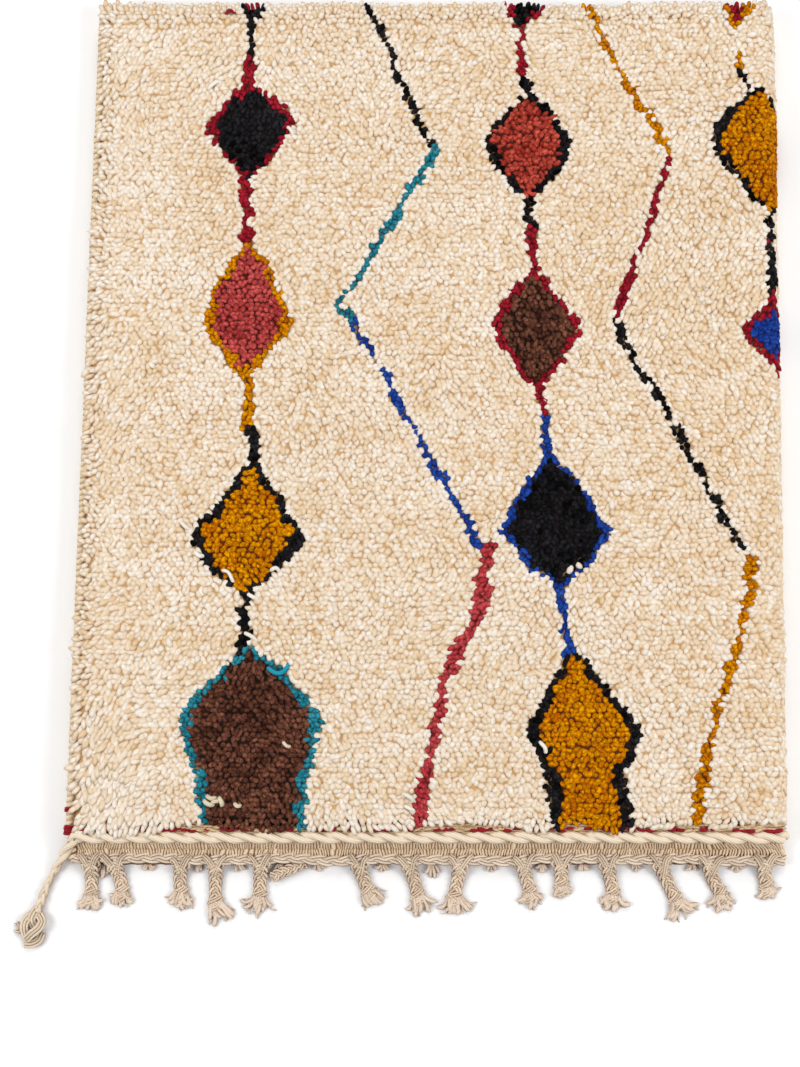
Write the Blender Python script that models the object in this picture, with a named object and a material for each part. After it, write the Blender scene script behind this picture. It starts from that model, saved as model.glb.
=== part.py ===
"""Shag wool rug with a woven end band and a plaited fringe, folded in two along its length.

Every piece is first shaped on the rug laid open: "across" runs from the first selvage to
the second, "along" from the fringed end to the far end, and "up" is the height above the
back of the cloth. lay() carries a point from there to where it lies on the folded rug: the
upper layer shows its pile, the fold is on the right, and the lower layer lies on its pile.
"""

import math
import random

import bmesh
import bpy
from mathutils import Vector

# Driving dimensions, in metres
FOLDED_WIDTH = 0.750
PILE_LENGTH = 0.891
CLOTH = 0.0045
PILE = 0.013
LAYER_GAP = 0.0015
FOLD_GAP = 0.009
BULGE_RUN = 0.110
NEAR_END_SLANT = 0.0176
PARTING = 0.0003

SELVAGE_RADIUS = 0.005
SELVAGE_WRAP = 0.012
SELVAGE_END = 0.0015
SELVAGE_WAIST = 0.80
SELVAGE_SIDES = 6

BAND_DEPTH = 0.0240
BAND_THICKNESS = 0.0035
BAND_BACK = 0.0005
BAND_COLUMN = 0.070
FALL_START = 0.003
FOLD_FLARE = 0.014

PLAIT_WIDTH = 0.011
PLAIT_THICKNESS = 0.0055
PLAIT_PITCH = 0.013
PLAIT_DIP = 0.0015
PLAIT_OVERHANG = 0.006
PLAIT_EDGE = 0.80
PLAIT_CROSSING = 0.85

CORD_RADIUS = 0.0052
CORD_WAIST = 0.6
CORD_PITCH = 0.047
CORD_STEP = 0.007
CORD_PLAIN_STEP = 0.030
CORD_EASE = 0.001
CORD_SIDES = 8

# Tassels of the upper layer: where each leaves the plaited edge (across), how far its end
# drifts sideways, how far it reaches from the edge, and the width of its frayed end
UPPER_TASSELS = (
    # across, drift, reach, brush
    (0.0147, -0.002, 0.050, 0.026),
    (0.0397, 0.007, 0.044, 0.024),
    (0.1107, 0.007, 0.046, 0.030),
    (0.1467, 0.001, 0.062, 0.026),
    (0.1947, -0.002, 0.052, 0.028),
    (0.2977, 0.018, 0.045, 0.030),
    (0.3497, 0.011, 0.052, 0.024),
    (0.4037, -0.012, 0.054, 0.032),
    (0.4687, 0.012, 0.045, 0.026),
    (0.5087, 0.001, 0.034, 0.022),
    (0.5567, 0.006, 0.049, 0.026),
    (0.6117, 0.028, 0.058, 0.030),
    (0.6568, 0.027, 0.048, 0.028),
    (0.7056, 0.006, 0.036, 0.022),
)

# Short plain tassels of the lower layer, between those above them
LOWER_TASSELS = (
    # from_fold, reach
    (0.040, 0.008),
    (0.080, 0.008),
    (0.135, 0.008),
    (0.189, 0.008),
    (0.233, 0.008),
    (0.285, 0.008),
    (0.348, 0.014),
    (0.399, 0.008),
    (0.467, 0.007),
    (0.507, 0.013),
    (0.551, 0.008),
    (0.593, 0.008),
    (0.647, 0.008),
    (0.694, 0.014),
)
TASSEL_WIDTH = 0.011
TASSEL_HEIGHT = 0.007
TASSEL_FALL = 0.014
TASSEL_STEP = 0.007
TASSEL_LOCKS = 4
LOCK_SHORTER = 0.045
SHORT_TASSEL_WIDTH = 0.008

# Where along a tassel its knot, its neck and its locks' waists lie, as shares of its reach
TASSEL_KNOT = 0.60
TASSEL_NECK = 0.70
TASSEL_WAIST = 0.86

# Widths and heights along a tassel, as shares of its own or, for a lock, of the lock's room
CROSSING_WIDTHS = (1.08, 0.90)
KNOT_WIDTH = 1.18
KNOT_HEIGHT = 1.25
NECK_WIDTH = 0.95
LOCK_WAIST = (0.72, 0.80)
LOCK_TIP = (0.40, 0.36)

# The twined cord's plaited tail: from the near left corner of the upper layer down to the
# surface, with its knot. Width is a share of the cord's own; a height of 0 lies on the surface
CORD_TAIL = (
    # x, y, height, width
    (-0.3735, -0.4650, 0.0240, 0.85),
    (-0.3830, -0.4800, 0.0130, 0.90),
    (-0.3925, -0.4990, 0.0000, 0.90),
    (-0.4000, -0.5140, 0.0000, 1.20),
    (-0.4045, -0.5300, 0.0000, 1.20),
    (-0.4085, -0.5410, 0.0000, 1.45),
    (-0.4110, -0.5550, 0.0000, 1.95),
    (-0.4115, -0.5730, 0.0000, 1.05),
)
TAIL_PLAIT_PITCH = 0.014
TAIL_PLAIT_SWELL = 0.10
KNOT_STUB = (-0.4270, -0.5510)
KNOT_RINGS = 6
STUB_TAPER = 0.8

# Shape of the pile and its rims
COARSE_COLUMNS = 8
COARSE_ROWS = 10
FINE_CUTS = 3
ROLL_STEPS = 8
LUMP = 0.0014
ROLL_PILE = 0.70
NEAR_LOCK_REACH = 0.007
FAR_LOCK_REACH = 0.009
LOCK_TAPER = 0.45
LOCK_SWAY = 0.0015
SAME_PLACE = 1e-5
CORD_TOP = BAND_BACK + BAND_THICKNESS + PARTING + 2 * CORD_RADIUS
LOCK_LEVEL = CORD_TOP + PARTING

# Sizes that follow from them
THICKNESS = CLOTH + PILE
NEAR = -PILE_LENGTH / 2
FAR = PILE_LENGTH / 2
LEFT_EDGE = -FOLDED_WIDTH / 2 + 2 * SELVAGE_RADIUS + PARTING
FOLD_X = FOLDED_WIDTH / 2 - (FOLD_GAP / 2 + CLOTH + PILE * ROLL_PILE)
UPPER_WIDTH = FOLD_X - LEFT_EDGE
ROLL_WIDTH = math.pi * (FOLD_GAP + CLOTH) / 2
LOWER_WIDTH = UPPER_WIDTH - 0.004
ROLL_END = UPPER_WIDTH + ROLL_WIDTH
OPEN_WIDTH = ROLL_END + LOWER_WIDTH
FALL_END = BAND_DEPTH + PARTING

COLOURS = {
    "rug_body": (0.84, 0.72, 0.52),
    "kilim_band": (0.58, 0.43, 0.26),
    "twined_cord": (0.80, 0.67, 0.47),
    "selvage_top": (0.60, 0.46, 0.29),
    "selvage_under": (0.60, 0.46, 0.29),
    "fringe": (0.56, 0.45, 0.31),
}


def mix(first, second, share):
    """The value that lies a share of the way from the first to the second."""
    return first + (second - first) * share


def smooth(share):
    """Ease a share between 0 and 1, and hold it there outside that range."""
    share = min(max(share, 0.0), 1.0)
    return share * share * (3 - 2 * share)


def roll_angle(across):
    """How far round the fold a place is: 0 on the upper layer, pi on the lower one."""
    share = (across - UPPER_WIDTH) / ROLL_WIDTH
    return math.pi * min(max(share, 0.0), 1.0)


def lay(across, along, up):
    """Carry a point of the laid-open rug to where it lies once the rug is folded."""
    fall = smooth((NEAR - along - FALL_START) / (FALL_END - FALL_START))
    lower_back = mix(THICKNESS, PLAIT_THICKNESS, fall)
    from_fold = max(UPPER_WIDTH - across, across - ROLL_END, 0.0)
    bulge = smooth(1 - from_fold / BULGE_RUN)
    gap = mix(LAYER_GAP, mix(FOLD_GAP, LAYER_GAP, fall), bulge)
    x = FOLD_X + FOLD_FLARE * fall * bulge
    if across < UPPER_WIDTH:
        x += across - UPPER_WIDTH
        z = lower_back + gap + up
    elif across > ROLL_END:
        x += ROLL_END - across
        z = lower_back - up
    else:
        angle = roll_angle(across)
        radius = gap / 2 + up
        x += radius * math.sin(angle)
        z = lower_back + gap / 2 + radius * math.cos(angle)
    slant = NEAR_END_SLANT * x * (0.5 - along / PILE_LENGTH)
    return Vector((x, along + slant, z))


def lay_all(bm):
    """Fold a whole mesh that was shaped on the laid-open rug."""
    for vert in bm.verts:
        vert.co = lay(*vert.co)
    bmesh.ops.recalc_face_normals(bm, faces=bm.faces)


def evenly(start, end, pitch):
    """Places from start to end, both included, about a pitch apart."""
    steps = max(1, round(abs(end - start) / pitch))
    return [mix(start, end, step / steps) for step in range(steps + 1)]


def open_slab(columns, rows, levels):
    """A closed slab on the laid-open rug, with mesh lines at the given places."""
    bm = bmesh.new()
    bmesh.ops.create_grid(bm, x_segments=len(columns) - 1, y_segments=len(rows) - 1, size=0.5)
    for vert in bm.verts:
        column = round((vert.co.x + 0.5) * (len(columns) - 1))
        row = round((vert.co.y + 0.5) * (len(rows) - 1))
        vert.co = (columns[column], rows[row], levels[0])
    top = bm.faces[:]
    for level in levels[1:]:
        under = top
        grown = bmesh.ops.extrude_face_region(bm, geom=under)["geom"]
        top = [item for item in grown if isinstance(item, bmesh.types.BMFace)]
        for vert in {vert for face in top for vert in face.verts}:
            vert.co.z = level
        if level != levels[1]:
            bmesh.ops.delete(bm, geom=under, context="FACES_ONLY")
    bmesh.ops.recalc_face_normals(bm, faces=bm.faces)
    return bm


def at(value, place):
    """Whether a coordinate is at a place, to a hundredth of a millimetre."""
    return abs(value - place) < SAME_PLACE


def cut_edges(bm, chosen, cuts):
    """Subdivide the chosen edges, which keep their straight lines."""
    edges = [edge for edge in bm.edges if chosen(*(vert.co for vert in edge.verts))]
    bmesh.ops.subdivide_edges(bm, edges=edges, cuts=cuts, use_grid_fill=True)


def make_object(name, bm):
    """Turn a mesh into a named object with its own wool material."""
    mesh = bpy.data.meshes.new(name)
    bmesh.ops.recalc_face_normals(bm, faces=bm.faces)
    bm.to_mesh(mesh)
    bm.free()
    material = bpy.data.materials.new(name + "_wool")
    material.use_nodes = True
    shader = material.node_tree.nodes["Principled BSDF"]
    shader.inputs["Base Color"].default_value = (*COLOURS[name], 1.0)
    shader.inputs["Roughness"].default_value = 0.95
    shader.inputs["Metallic"].default_value = 0.0
    mesh.materials.append(material)
    piece = bpy.data.objects.new(name, mesh)
    rug.objects.link(piece)
    return piece


def grow_locks(bm, level, row, heading, reach, wander):
    """Draw a tapered lock of pile out of each rim face at one level and one end."""
    last = UPPER_WIDTH if heading < 0 else OPEN_WIDTH
    rim = []
    for face in bm.faces:
        middle = face.calc_center_median()
        is_level = level[0] < middle.z < level[1] and middle.x < last
        if is_level and all(at(vert.co.y, row) for vert in face.verts):
            rim.append(face)
    rim.sort(key=lambda face: face.calc_center_median().x)
    for lock in bmesh.ops.extrude_discrete_faces(bm, faces=rim)["faces"]:
        middle = lock.calc_center_median()
        tip = middle.copy()
        tip.x += wander.uniform(-LOCK_SWAY, LOCK_SWAY)
        tip.y += heading * reach * wander.uniform(0.75, 1.1)
        for vert in lock.verts:
            offset = vert.co - middle
            vert.co = tip + offset * LOCK_TAPER


def make_rug_body():
    """The knotted pile cloth: two layers and the roll, lumpy on top, with locks at its rims."""
    wander = random.Random(11)
    columns = evenly(0, UPPER_WIDTH, UPPER_WIDTH / COARSE_COLUMNS)
    columns += evenly(UPPER_WIDTH, ROLL_END, ROLL_WIDTH / ROLL_STEPS)[1:]
    columns += evenly(ROLL_END, OPEN_WIDTH, LOWER_WIDTH / COARSE_COLUMNS)[1:]
    rows = evenly(NEAR, FAR, PILE_LENGTH / COARSE_ROWS)
    bm = open_slab(columns, rows, (0, CLOTH, LOCK_LEVEL, THICKNESS))
    roll_half = UPPER_WIDTH + ROLL_WIDTH / 2

    def on_upper_pile(first, second):
        runs_along = at(first.x, second.x)
        limit = roll_half if runs_along else UPPER_WIDTH
        on_top = at(first.z, THICKNESS) and at(second.z, THICKNESS)
        return on_top and max(first.x, second.x) < limit + SAME_PLACE

    def on_rim(first, second):
        is_level = at(first.z, second.z) and first.z > CLOTH - SAME_PLACE
        is_end = at(first.y, second.y) and (at(first.y, NEAR) or at(first.y, FAR))
        return is_level and is_end

    def on_locked_rim(first, second):
        is_wide = abs(first.x - second.x) > ROLL_WIDTH / ROLL_STEPS + SAME_PLACE
        is_locked = max(first.x, second.x) < UPPER_WIDTH + SAME_PLACE or at(first.y, FAR)
        return on_rim(first, second) and is_wide and is_locked

    cut_edges(bm, lambda a, b: on_upper_pile(a, b) or on_locked_rim(a, b), FINE_CUTS)
    cut_edges(bm, on_locked_rim, 1)
    grow_locks(bm, (LOCK_LEVEL, THICKNESS), NEAR, -1, NEAR_LOCK_REACH, wander)
    grow_locks(bm, (CLOTH, LOCK_LEVEL), FAR, 1, FAR_LOCK_REACH, wander)

    for vert in bm.verts:
        across, along, up = vert.co
        if up > CLOTH + SAME_PLACE:
            angle = roll_angle(across)
            shortened = 1 - (1 - ROLL_PILE) * math.sin(angle)
            up = CLOTH + (up - CLOTH) * shortened
            is_shown = across < roll_half + SAME_PLACE and NEAR < along < FAR
            if is_shown and at(vert.co.z, THICKNESS):
                up += wander.uniform(-LUMP, LUMP)
        vert.co.z = up
    lay_all(bm)
    return make_object("rug_body", bm)


def make_kilim_band():
    """The flat-woven band beyond the pile, which falls to the surface at its edge."""
    columns = evenly(0, UPPER_WIDTH - BULGE_RUN, BAND_COLUMN)
    columns += evenly(columns[-1], UPPER_WIDTH, BULGE_RUN / 6)[1:]
    columns += evenly(UPPER_WIDTH, ROLL_END, ROLL_WIDTH / ROLL_STEPS)[1:]
    columns += evenly(ROLL_END, OPEN_WIDTH, BAND_COLUMN)[1:]
    rows = evenly(NEAR - PARTING - BAND_DEPTH, NEAR - PARTING, BAND_DEPTH / 5)
    bm = open_slab(columns, rows, (BAND_BACK, BAND_BACK + BAND_THICKNESS))
    lay_all(bm)
    return make_object("kilim_band", bm)


def skin(bm, rings):
    """Cover a row of rings, and return each ring's side faces."""
    loops = [[bm.verts.new(place) for place in ring] for ring in rings]
    bands = []
    for near_loop, far_loop in zip(loops, loops[1:]):
        count = len(near_loop)
        sides = []
        for side in range(count):
            after = (side + 1) % count
            corners = (near_loop[side], near_loop[after], far_loop[after], far_loop[side])
            sides.append(bm.faces.new(corners))
        bands.append(sides)
    bm.faces.new(loops[0])
    bm.faces.new(loops[-1])
    return bands


def tail_places():
    """Smooth stations down the cord's tail: place and width, a quarter of a span apart."""
    rows = []
    for across in (CORD_STEP, 0.0):
        first = lay(across, NEAR - PARTING - CORD_RADIUS, CORD_TOP - CORD_RADIUS)
        rows.append((*first, 1.0))
    for x, y, height, width in CORD_TAIL:
        floor = CORD_RADIUS * CORD_WAIST * width
        rows.append((x, y, max(height, floor), width))
    stations = []
    for span in range(1, len(rows) - 1):
        before = rows[span - 1]
        start, end = rows[span], rows[span + 1]
        after = rows[min(span + 2, len(rows) - 1)]
        for quarter in range(1, 5):
            share = quarter / 4
            values = []
            for a, b, c, d in zip(before, start, end, after):
                bend = (2 * a - 5 * b + 4 * c - d) * share ** 2
                turn = (3 * b - a - 3 * c + d) * share ** 3
                values.append(b + ((c - a) * share + bend + turn) / 2)
            stations.append((Vector(values[:3]), values[3]))
    return stations


def make_twined_cord():
    """Two thick yarns twined over the pile's edge, plaited into a knotted tail at the corner."""
    along = NEAR - PARTING - CORD_RADIUS
    middle = CORD_TOP - CORD_RADIUS
    places = evenly(OPEN_WIDTH, ROLL_END, CORD_PLAIN_STEP)
    places += evenly(ROLL_END, UPPER_WIDTH, ROLL_WIDTH / ROLL_STEPS)[1:]
    places += evenly(UPPER_WIDTH, 0, CORD_STEP)[1:]
    stations = []
    for across in places:
        angle = roll_angle(across)
        ease = CORD_EASE * angle / math.pi
        centre = lay(across, along, middle + ease)
        outward = Vector((math.sin(angle), 0, math.cos(angle)))
        turn = math.tau * min(across, UPPER_WIDTH) / CORD_PITCH
        stations.append((centre, outward, turn, 1.0))

    last_turn = stations[-1][2]
    level = round(last_turn / math.pi) * math.pi
    run = 0.0
    here = stations[-1][0]
    for place, width in tail_places():
        run += (place - here).length
        here = place
        plaited = 1 + TAIL_PLAIT_SWELL * math.cos(math.tau * run / TAIL_PLAIT_PITCH)
        turn = mix(last_turn, level, smooth(run / CORD_PITCH))
        lifted = max(place.z, CORD_RADIUS * CORD_WAIST * width * plaited)
        centre = Vector((place.x, place.y, lifted))
        stations.append((centre, Vector((0, 0, 1)), turn, width * plaited))

    rings = []
    for index, (centre, outward, turn, width) in enumerate(stations):
        before = stations[max(index - 1, 0)][0]
        after = stations[min(index + 1, len(stations) - 1)][0]
        forward = (after - before).normalized()
        side = forward.cross(outward).normalized()
        rise = side.cross(forward)
        ring = []
        for step in range(CORD_SIDES):
            angle = math.tau * step / CORD_SIDES
            lobe = mix(CORD_WAIST, 1.0, (1 + math.cos(2 * angle)) / 2)
            radius = CORD_RADIUS * width * lobe
            shown = angle + turn
            ring.append(centre + radius * (side * math.cos(shown) + rise * math.sin(shown)))
        rings.append(ring)

    bm = bmesh.new()
    bands = skin(bm, rings)
    bmesh.ops.recalc_face_normals(bm, faces=bm.faces)
    stub_place = Vector((*KNOT_STUB, CORD_RADIUS))
    knot_faces = [face for band in bands[-KNOT_RINGS:] for face in band]
    knot_faces.sort(key=lambda face: (face.calc_center_median() - stub_place).length)
    stub = bmesh.ops.extrude_discrete_faces(bm, faces=knot_faces[:1])["faces"][0]
    middle = stub.calc_center_median()
    for vert in stub.verts:
        vert.co = stub_place + (vert.co - middle) * STUB_TAPER
        vert.co.z = max(vert.co.z, 0.0)
    return make_object("twined_cord", bm)


def make_selvage(name, is_upper):
    """A side edge wrapped in wool, with one bead in its outline for each wrap."""
    aside = SELVAGE_RADIUS + PARTING
    across = -aside if is_upper else OPEN_WIDTH + aside
    rings = []
    for index, along in enumerate(evenly(FAR, NEAR + SELVAGE_END, SELVAGE_WRAP / 2)):
        radius = SELVAGE_RADIUS * (1.0 if index % 2 else SELVAGE_WAIST)
        centre = lay(across, along, SELVAGE_RADIUS)
        ring = []
        for step in range(SELVAGE_SIDES):
            angle = math.tau * step / SELVAGE_SIDES
            ring.append(centre + radius * Vector((math.cos(angle), 0, math.sin(angle))))
        rings.append(ring)
    bm = bmesh.new()
    skin(bm, rings)
    return make_object(name, bm)


def plait_columns(upper_roots, lower_roots):
    """Mesh lines across the plaited edge: both sides of each tassel, and even ones between."""
    columns = [-PLAIT_OVERHANG]
    for roots, width, stop in (
        (upper_roots, TASSEL_WIDTH, UPPER_WIDTH),
        (lower_roots, SHORT_TASSEL_WIDTH, OPEN_WIDTH),
    ):
        for root in roots:
            columns += evenly(columns[-1], root - width / 2, PLAIT_PITCH)[1:]
            columns.append(root + width / 2)
        columns += evenly(columns[-1], stop, PLAIT_PITCH)[1:]
        if stop == UPPER_WIDTH:
            columns += evenly(UPPER_WIDTH, ROLL_END, ROLL_WIDTH / ROLL_STEPS)[1:]
    return columns


def draw_out(bm, face, centre, right, width, height):
    """Extrude a four-sided face to a section at a new place, and return its end face."""
    end = bmesh.ops.extrude_discrete_faces(bm, faces=[face])["faces"][0]
    middle = end.calc_center_median()
    for vert in end.verts:
        offset = vert.co - middle
        sideways = right * math.copysign(width / 2, offset.dot(right))
        vert.co = centre + sideways + Vector((0, 0, math.copysign(height / 2, offset.z)))
    return end


def split_sideways(bm, face, right, count):
    """Split a four-sided face into strips that lie side by side."""
    middle = face.calc_center_median()
    facing = face.normal.copy()
    level = [edge for edge in face.edges if abs(edge_heading(edge).dot(right)) > 0.9]
    bmesh.ops.subdivide_edges(bm, edges=level, cuts=count - 1, use_grid_fill=True)
    strips = []
    for strip in bm.faces:
        offsets = [vert.co - middle for vert in strip.verts]
        is_near = all(offset.length < TASSEL_WIDTH for offset in offsets)
        if is_near and all(abs(offset.dot(facing)) < 1e-6 for offset in offsets):
            strips.append(strip)
    strips.sort(key=lambda strip: strip.calc_center_median().dot(right))
    return strips


def edge_heading(edge):
    """The direction in which an edge runs."""
    return (edge.verts[1].co - edge.verts[0].co).normalized()


def grow_tassel(bm, root, drift, reach, brush):
    """A plaited tassel: it falls to the surface, lies there, and ends in a knot and locks."""
    start = root.calc_center_median()
    heading = Vector((drift, -reach, 0)).normalized()
    right = Vector((0, 0, 1)).cross(heading)
    span = Vector((drift, -reach, 0))
    shaft = evenly(0, TASSEL_KNOT, TASSEL_STEP / reach)[1:]
    face = root
    for index, share in enumerate(shaft):
        is_knot = index == len(shaft) - 1
        plaited = KNOT_WIDTH if is_knot else CROSSING_WIDTHS[(index + 1) % 2]
        fall = smooth(share * reach / TASSEL_FALL)
        height = TASSEL_HEIGHT * (KNOT_HEIGHT if is_knot else 1.0)
        centre = start + span * share
        centre.z = mix(start.z, height / 2, fall)
        face = draw_out(bm, face, centre, right, TASSEL_WIDTH * plaited, height)
    neck = start + span * TASSEL_NECK
    neck.z = TASSEL_HEIGHT / 2
    face = draw_out(bm, face, neck, right, TASSEL_WIDTH * NECK_WIDTH, TASSEL_HEIGHT)
    face.normal_update()

    room = brush / TASSEL_LOCKS
    for index, lock in enumerate(split_sideways(bm, face, right, TASSEL_LOCKS)):
        aside = right * room * (index - (TASSEL_LOCKS - 1) / 2)
        tip = 1 - LOCK_SHORTER * ((index * 3) % TASSEL_LOCKS)
        for share, spread, section in ((TASSEL_WAIST, 0.8, LOCK_WAIST), (tip, 1.0, LOCK_TIP)):
            width, height = room * section[0], TASSEL_HEIGHT * section[1]
            centre = start + span * share + aside * spread
            centre.z = height / 2
            lock = draw_out(bm, lock, centre, right, width, height)


def grow_short_tassel(bm, root, reach):
    """A short plain tassel of the lower layer, lying on the surface."""
    right = Vector((1, 0, 0))
    start = root.calc_center_median()
    face = root
    for share, width, height in ((0.55, 1.0, 0.0050), (1.0, 0.55, 0.0032)):
        centre = Vector((start.x, start.y - reach * share, height / 2))
        face = draw_out(bm, face, centre, right, SHORT_TASSEL_WIDTH * width, height)


def make_fringe():
    """The plaited warp edge of both layers, with its tassels."""
    upper_roots = [row[0] for row in UPPER_TASSELS]
    lower_roots = [ROLL_END + row[0] for row in LOWER_TASSELS]
    columns = plait_columns(upper_roots, lower_roots)
    back = NEAR - PARTING - BAND_DEPTH - PARTING
    front = back - PLAIT_WIDTH
    bm = open_slab(columns, (front, (front + back) / 2, back), (0, PLAIT_THICKNESS))

    roots = {}
    for face in bm.faces:
        if all(at(vert.co.y, front) for vert in face.verts):
            roots[face.calc_center_median().x] = face
    upper_faces = [roots[min(roots, key=lambda place: abs(place - root))] for root in upper_roots]
    lower_faces = [roots[min(roots, key=lambda place: abs(place - root))] for root in lower_roots]

    for vert in bm.verts:
        is_crossing = columns.index(min(columns, key=lambda line: abs(line - vert.co.x))) % 2
        if vert.co.x < UPPER_WIDTH and vert.co.z > PLAIT_THICKNESS / 2:
            is_edge = at(vert.co.y, front) or at(vert.co.y, back)
            vert.co.z *= PLAIT_EDGE if is_edge else 1.0
            vert.co.z *= PLAIT_CROSSING if is_crossing else 1.0
        if vert.co.x < UPPER_WIDTH and at(vert.co.y, front) and is_crossing:
            vert.co.y += PLAIT_DIP
    lay_all(bm)

    for face, (_, drift, reach, brush) in zip(upper_faces, UPPER_TASSELS):
        grow_tassel(bm, face, drift, reach, brush)
    for face, (_, reach) in zip(lower_faces, LOWER_TASSELS):
        grow_short_tassel(bm, face, reach)
    return make_object("fringe", bm)


for old in list(bpy.data.objects):
    bpy.data.objects.remove(old, do_unlink=True)
rug = bpy.data.collections.new("folded_shag_rug")
bpy.context.scene.collection.children.link(rug)

make_rug_body()
make_kilim_band()
make_twined_cord()
make_selvage("selvage_top", is_upper=True)
make_selvage("selvage_under", is_upper=False)
make_fringe()
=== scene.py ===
import math

import bpy
import numpy as np
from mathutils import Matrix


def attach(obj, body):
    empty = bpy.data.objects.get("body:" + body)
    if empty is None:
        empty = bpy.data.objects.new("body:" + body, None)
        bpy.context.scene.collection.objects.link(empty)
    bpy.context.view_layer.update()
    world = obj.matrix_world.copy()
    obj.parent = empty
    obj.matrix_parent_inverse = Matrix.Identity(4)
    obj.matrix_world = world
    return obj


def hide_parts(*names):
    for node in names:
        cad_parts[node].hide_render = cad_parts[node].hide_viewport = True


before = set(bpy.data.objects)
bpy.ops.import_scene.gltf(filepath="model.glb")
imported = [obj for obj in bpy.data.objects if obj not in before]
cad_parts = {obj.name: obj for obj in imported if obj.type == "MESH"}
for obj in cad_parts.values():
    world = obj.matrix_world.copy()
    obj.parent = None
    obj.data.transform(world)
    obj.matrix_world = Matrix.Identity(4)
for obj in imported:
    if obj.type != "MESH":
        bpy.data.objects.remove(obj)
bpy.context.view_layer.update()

# ---- View ----
# The rug is seen from above its near half, almost straight down and a little off square, so
# that its far end is cut off by the upper edge of the picture.
camera_data = bpy.data.cameras.new("view")
camera_data.lens = 50.61
camera = bpy.data.objects.new("view", camera_data)
camera.location = (0.0226, -0.3295, 1.6073)
camera.rotation_euler = [math.radians(angle) for angle in (7.0576, 1.7572, 0.8746)]
bpy.context.scene.collection.objects.link(camera)
bpy.context.scene.camera = camera

# ---- Ground cloth ----
# Undyed wool warps and wefts, woven tight between the rows of knots. The rug is folded in
# two along its length, pile outwards, with its bulge and its roll on the right. All else is
# fixed to this cloth, and is laid out on the open rug before lay() folds it.
FOLDED_WIDTH = 0.750
PILE_LENGTH = 0.891
CLOTH = 0.0045
PILE = 0.013
LAYER_GAP = 0.0015
FOLD_GAP = 0.009
BULGE_RUN = 0.110
NEAR_END_SLANT = 0.0176
PARTING = 0.0003
ROLL_PILE = 0.70
SELVAGE_RADIUS = 0.005
BAND_DEPTH = 0.0240
BAND_BACK = 0.0005
FALL_START = 0.003
FOLD_FLARE = 0.014
PLAIT_THICKNESS = 0.0055
WEFT_SCALE = 45.0
CLOTH_STEP = 0.020

THICKNESS = CLOTH + PILE
NEAR = -PILE_LENGTH / 2
FAR = PILE_LENGTH / 2
LEFT_EDGE = -FOLDED_WIDTH / 2 + 2 * SELVAGE_RADIUS + PARTING
FOLD_X = FOLDED_WIDTH / 2 - (FOLD_GAP / 2 + CLOTH + PILE * ROLL_PILE)
UPPER_WIDTH = FOLD_X - LEFT_EDGE
ROLL_WIDTH = math.pi * (FOLD_GAP + CLOTH) / 2
LOWER_WIDTH = UPPER_WIDTH - 0.004
ROLL_END = UPPER_WIDTH + ROLL_WIDTH
OPEN_WIDTH = ROLL_END + LOWER_WIDTH
FALL_END = BAND_DEPTH + PARTING


def smooth(share):
    """Ease a share between 0 and 1, and hold it there outside that range."""
    share = np.clip(share, 0.0, 1.0)
    return share * share * (3 - 2 * share)


def within(distance, reach):
    """1 at a place, easing down to 0 at this reach from it."""
    return smooth(1 - distance / reach)


def roll_angle(across):
    """How far round the fold a place is: 0 on the upper layer, pi on the lower one."""
    return math.pi * np.clip((across - UPPER_WIDTH) / ROLL_WIDTH, 0.0, 1.0)


def lay(across, along, up):
    """Carry points of the laid-open rug to where they lie once it is folded."""
    across, along, up = np.broadcast_arrays(across, along, up)
    fall = smooth((NEAR - along - FALL_START) / (FALL_END - FALL_START))
    lower_back = THICKNESS + (PLAIT_THICKNESS - THICKNESS) * fall
    from_fold = np.maximum(np.maximum(UPPER_WIDTH - across, across - ROLL_END), 0.0)
    bulge = within(from_fold, BULGE_RUN)
    fold_gap = FOLD_GAP + (LAYER_GAP - FOLD_GAP) * fall
    gap = LAYER_GAP + (fold_gap - LAYER_GAP) * bulge
    angle = roll_angle(across)
    radius = gap / 2 + up
    inward = np.minimum(across - UPPER_WIDTH, 0.0) - np.maximum(across - ROLL_END, 0.0)
    x = FOLD_X + FOLD_FLARE * fall * bulge + inward + radius * np.sin(angle)
    z = lower_back + gap / 2 + radius * np.cos(angle)
    slant = NEAR_END_SLANT * x * (0.5 - along / PILE_LENGTH)
    return np.stack((x, along + slant, z), axis=-1)


def outward(across):
    """The way out of the pile side at a place on the rug."""
    angle = roll_angle(np.asarray(across, dtype=float))
    return np.stack((np.sin(angle), 0 * angle, np.cos(angle)), axis=-1)


def evenly(start, end, pitch):
    """Places from start to end, both included, about a pitch apart."""
    return np.linspace(start, end, max(1, round(abs(end - start) / pitch)) + 1)


def over_fold(start, upper_step, roll_parts, lower_step=None):
    """Places across the open rug: the upper layer, the roll, and the lower layer if wanted."""
    spans = [evenly(start, UPPER_WIDTH, upper_step)]
    spans.append(evenly(UPPER_WIDTH, ROLL_END, ROLL_WIDTH / roll_parts)[1:])
    if lower_step:
        spans.append(evenly(ROLL_END, OPEN_WIDTH, lower_step)[1:])
    return np.concatenate(spans)


def shade(red, green, blue):
    """A colour from its 0 to 255 screen values."""
    values = [part / 255 for part in (red, green, blue)]
    return (*(part / 12.92 if part < 0.04 else ((part + 0.055) / 1.055) ** 2.4 for part in values), 1)


def feed(node, sockets):
    """Give a node's sockets their numbers, colours or links."""
    for key, value in sockets.items():
        if isinstance(value, Value):
            node.id_data.links.new(node.inputs[key], value.socket)
        else:
            node.inputs[key].default_value = value


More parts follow.
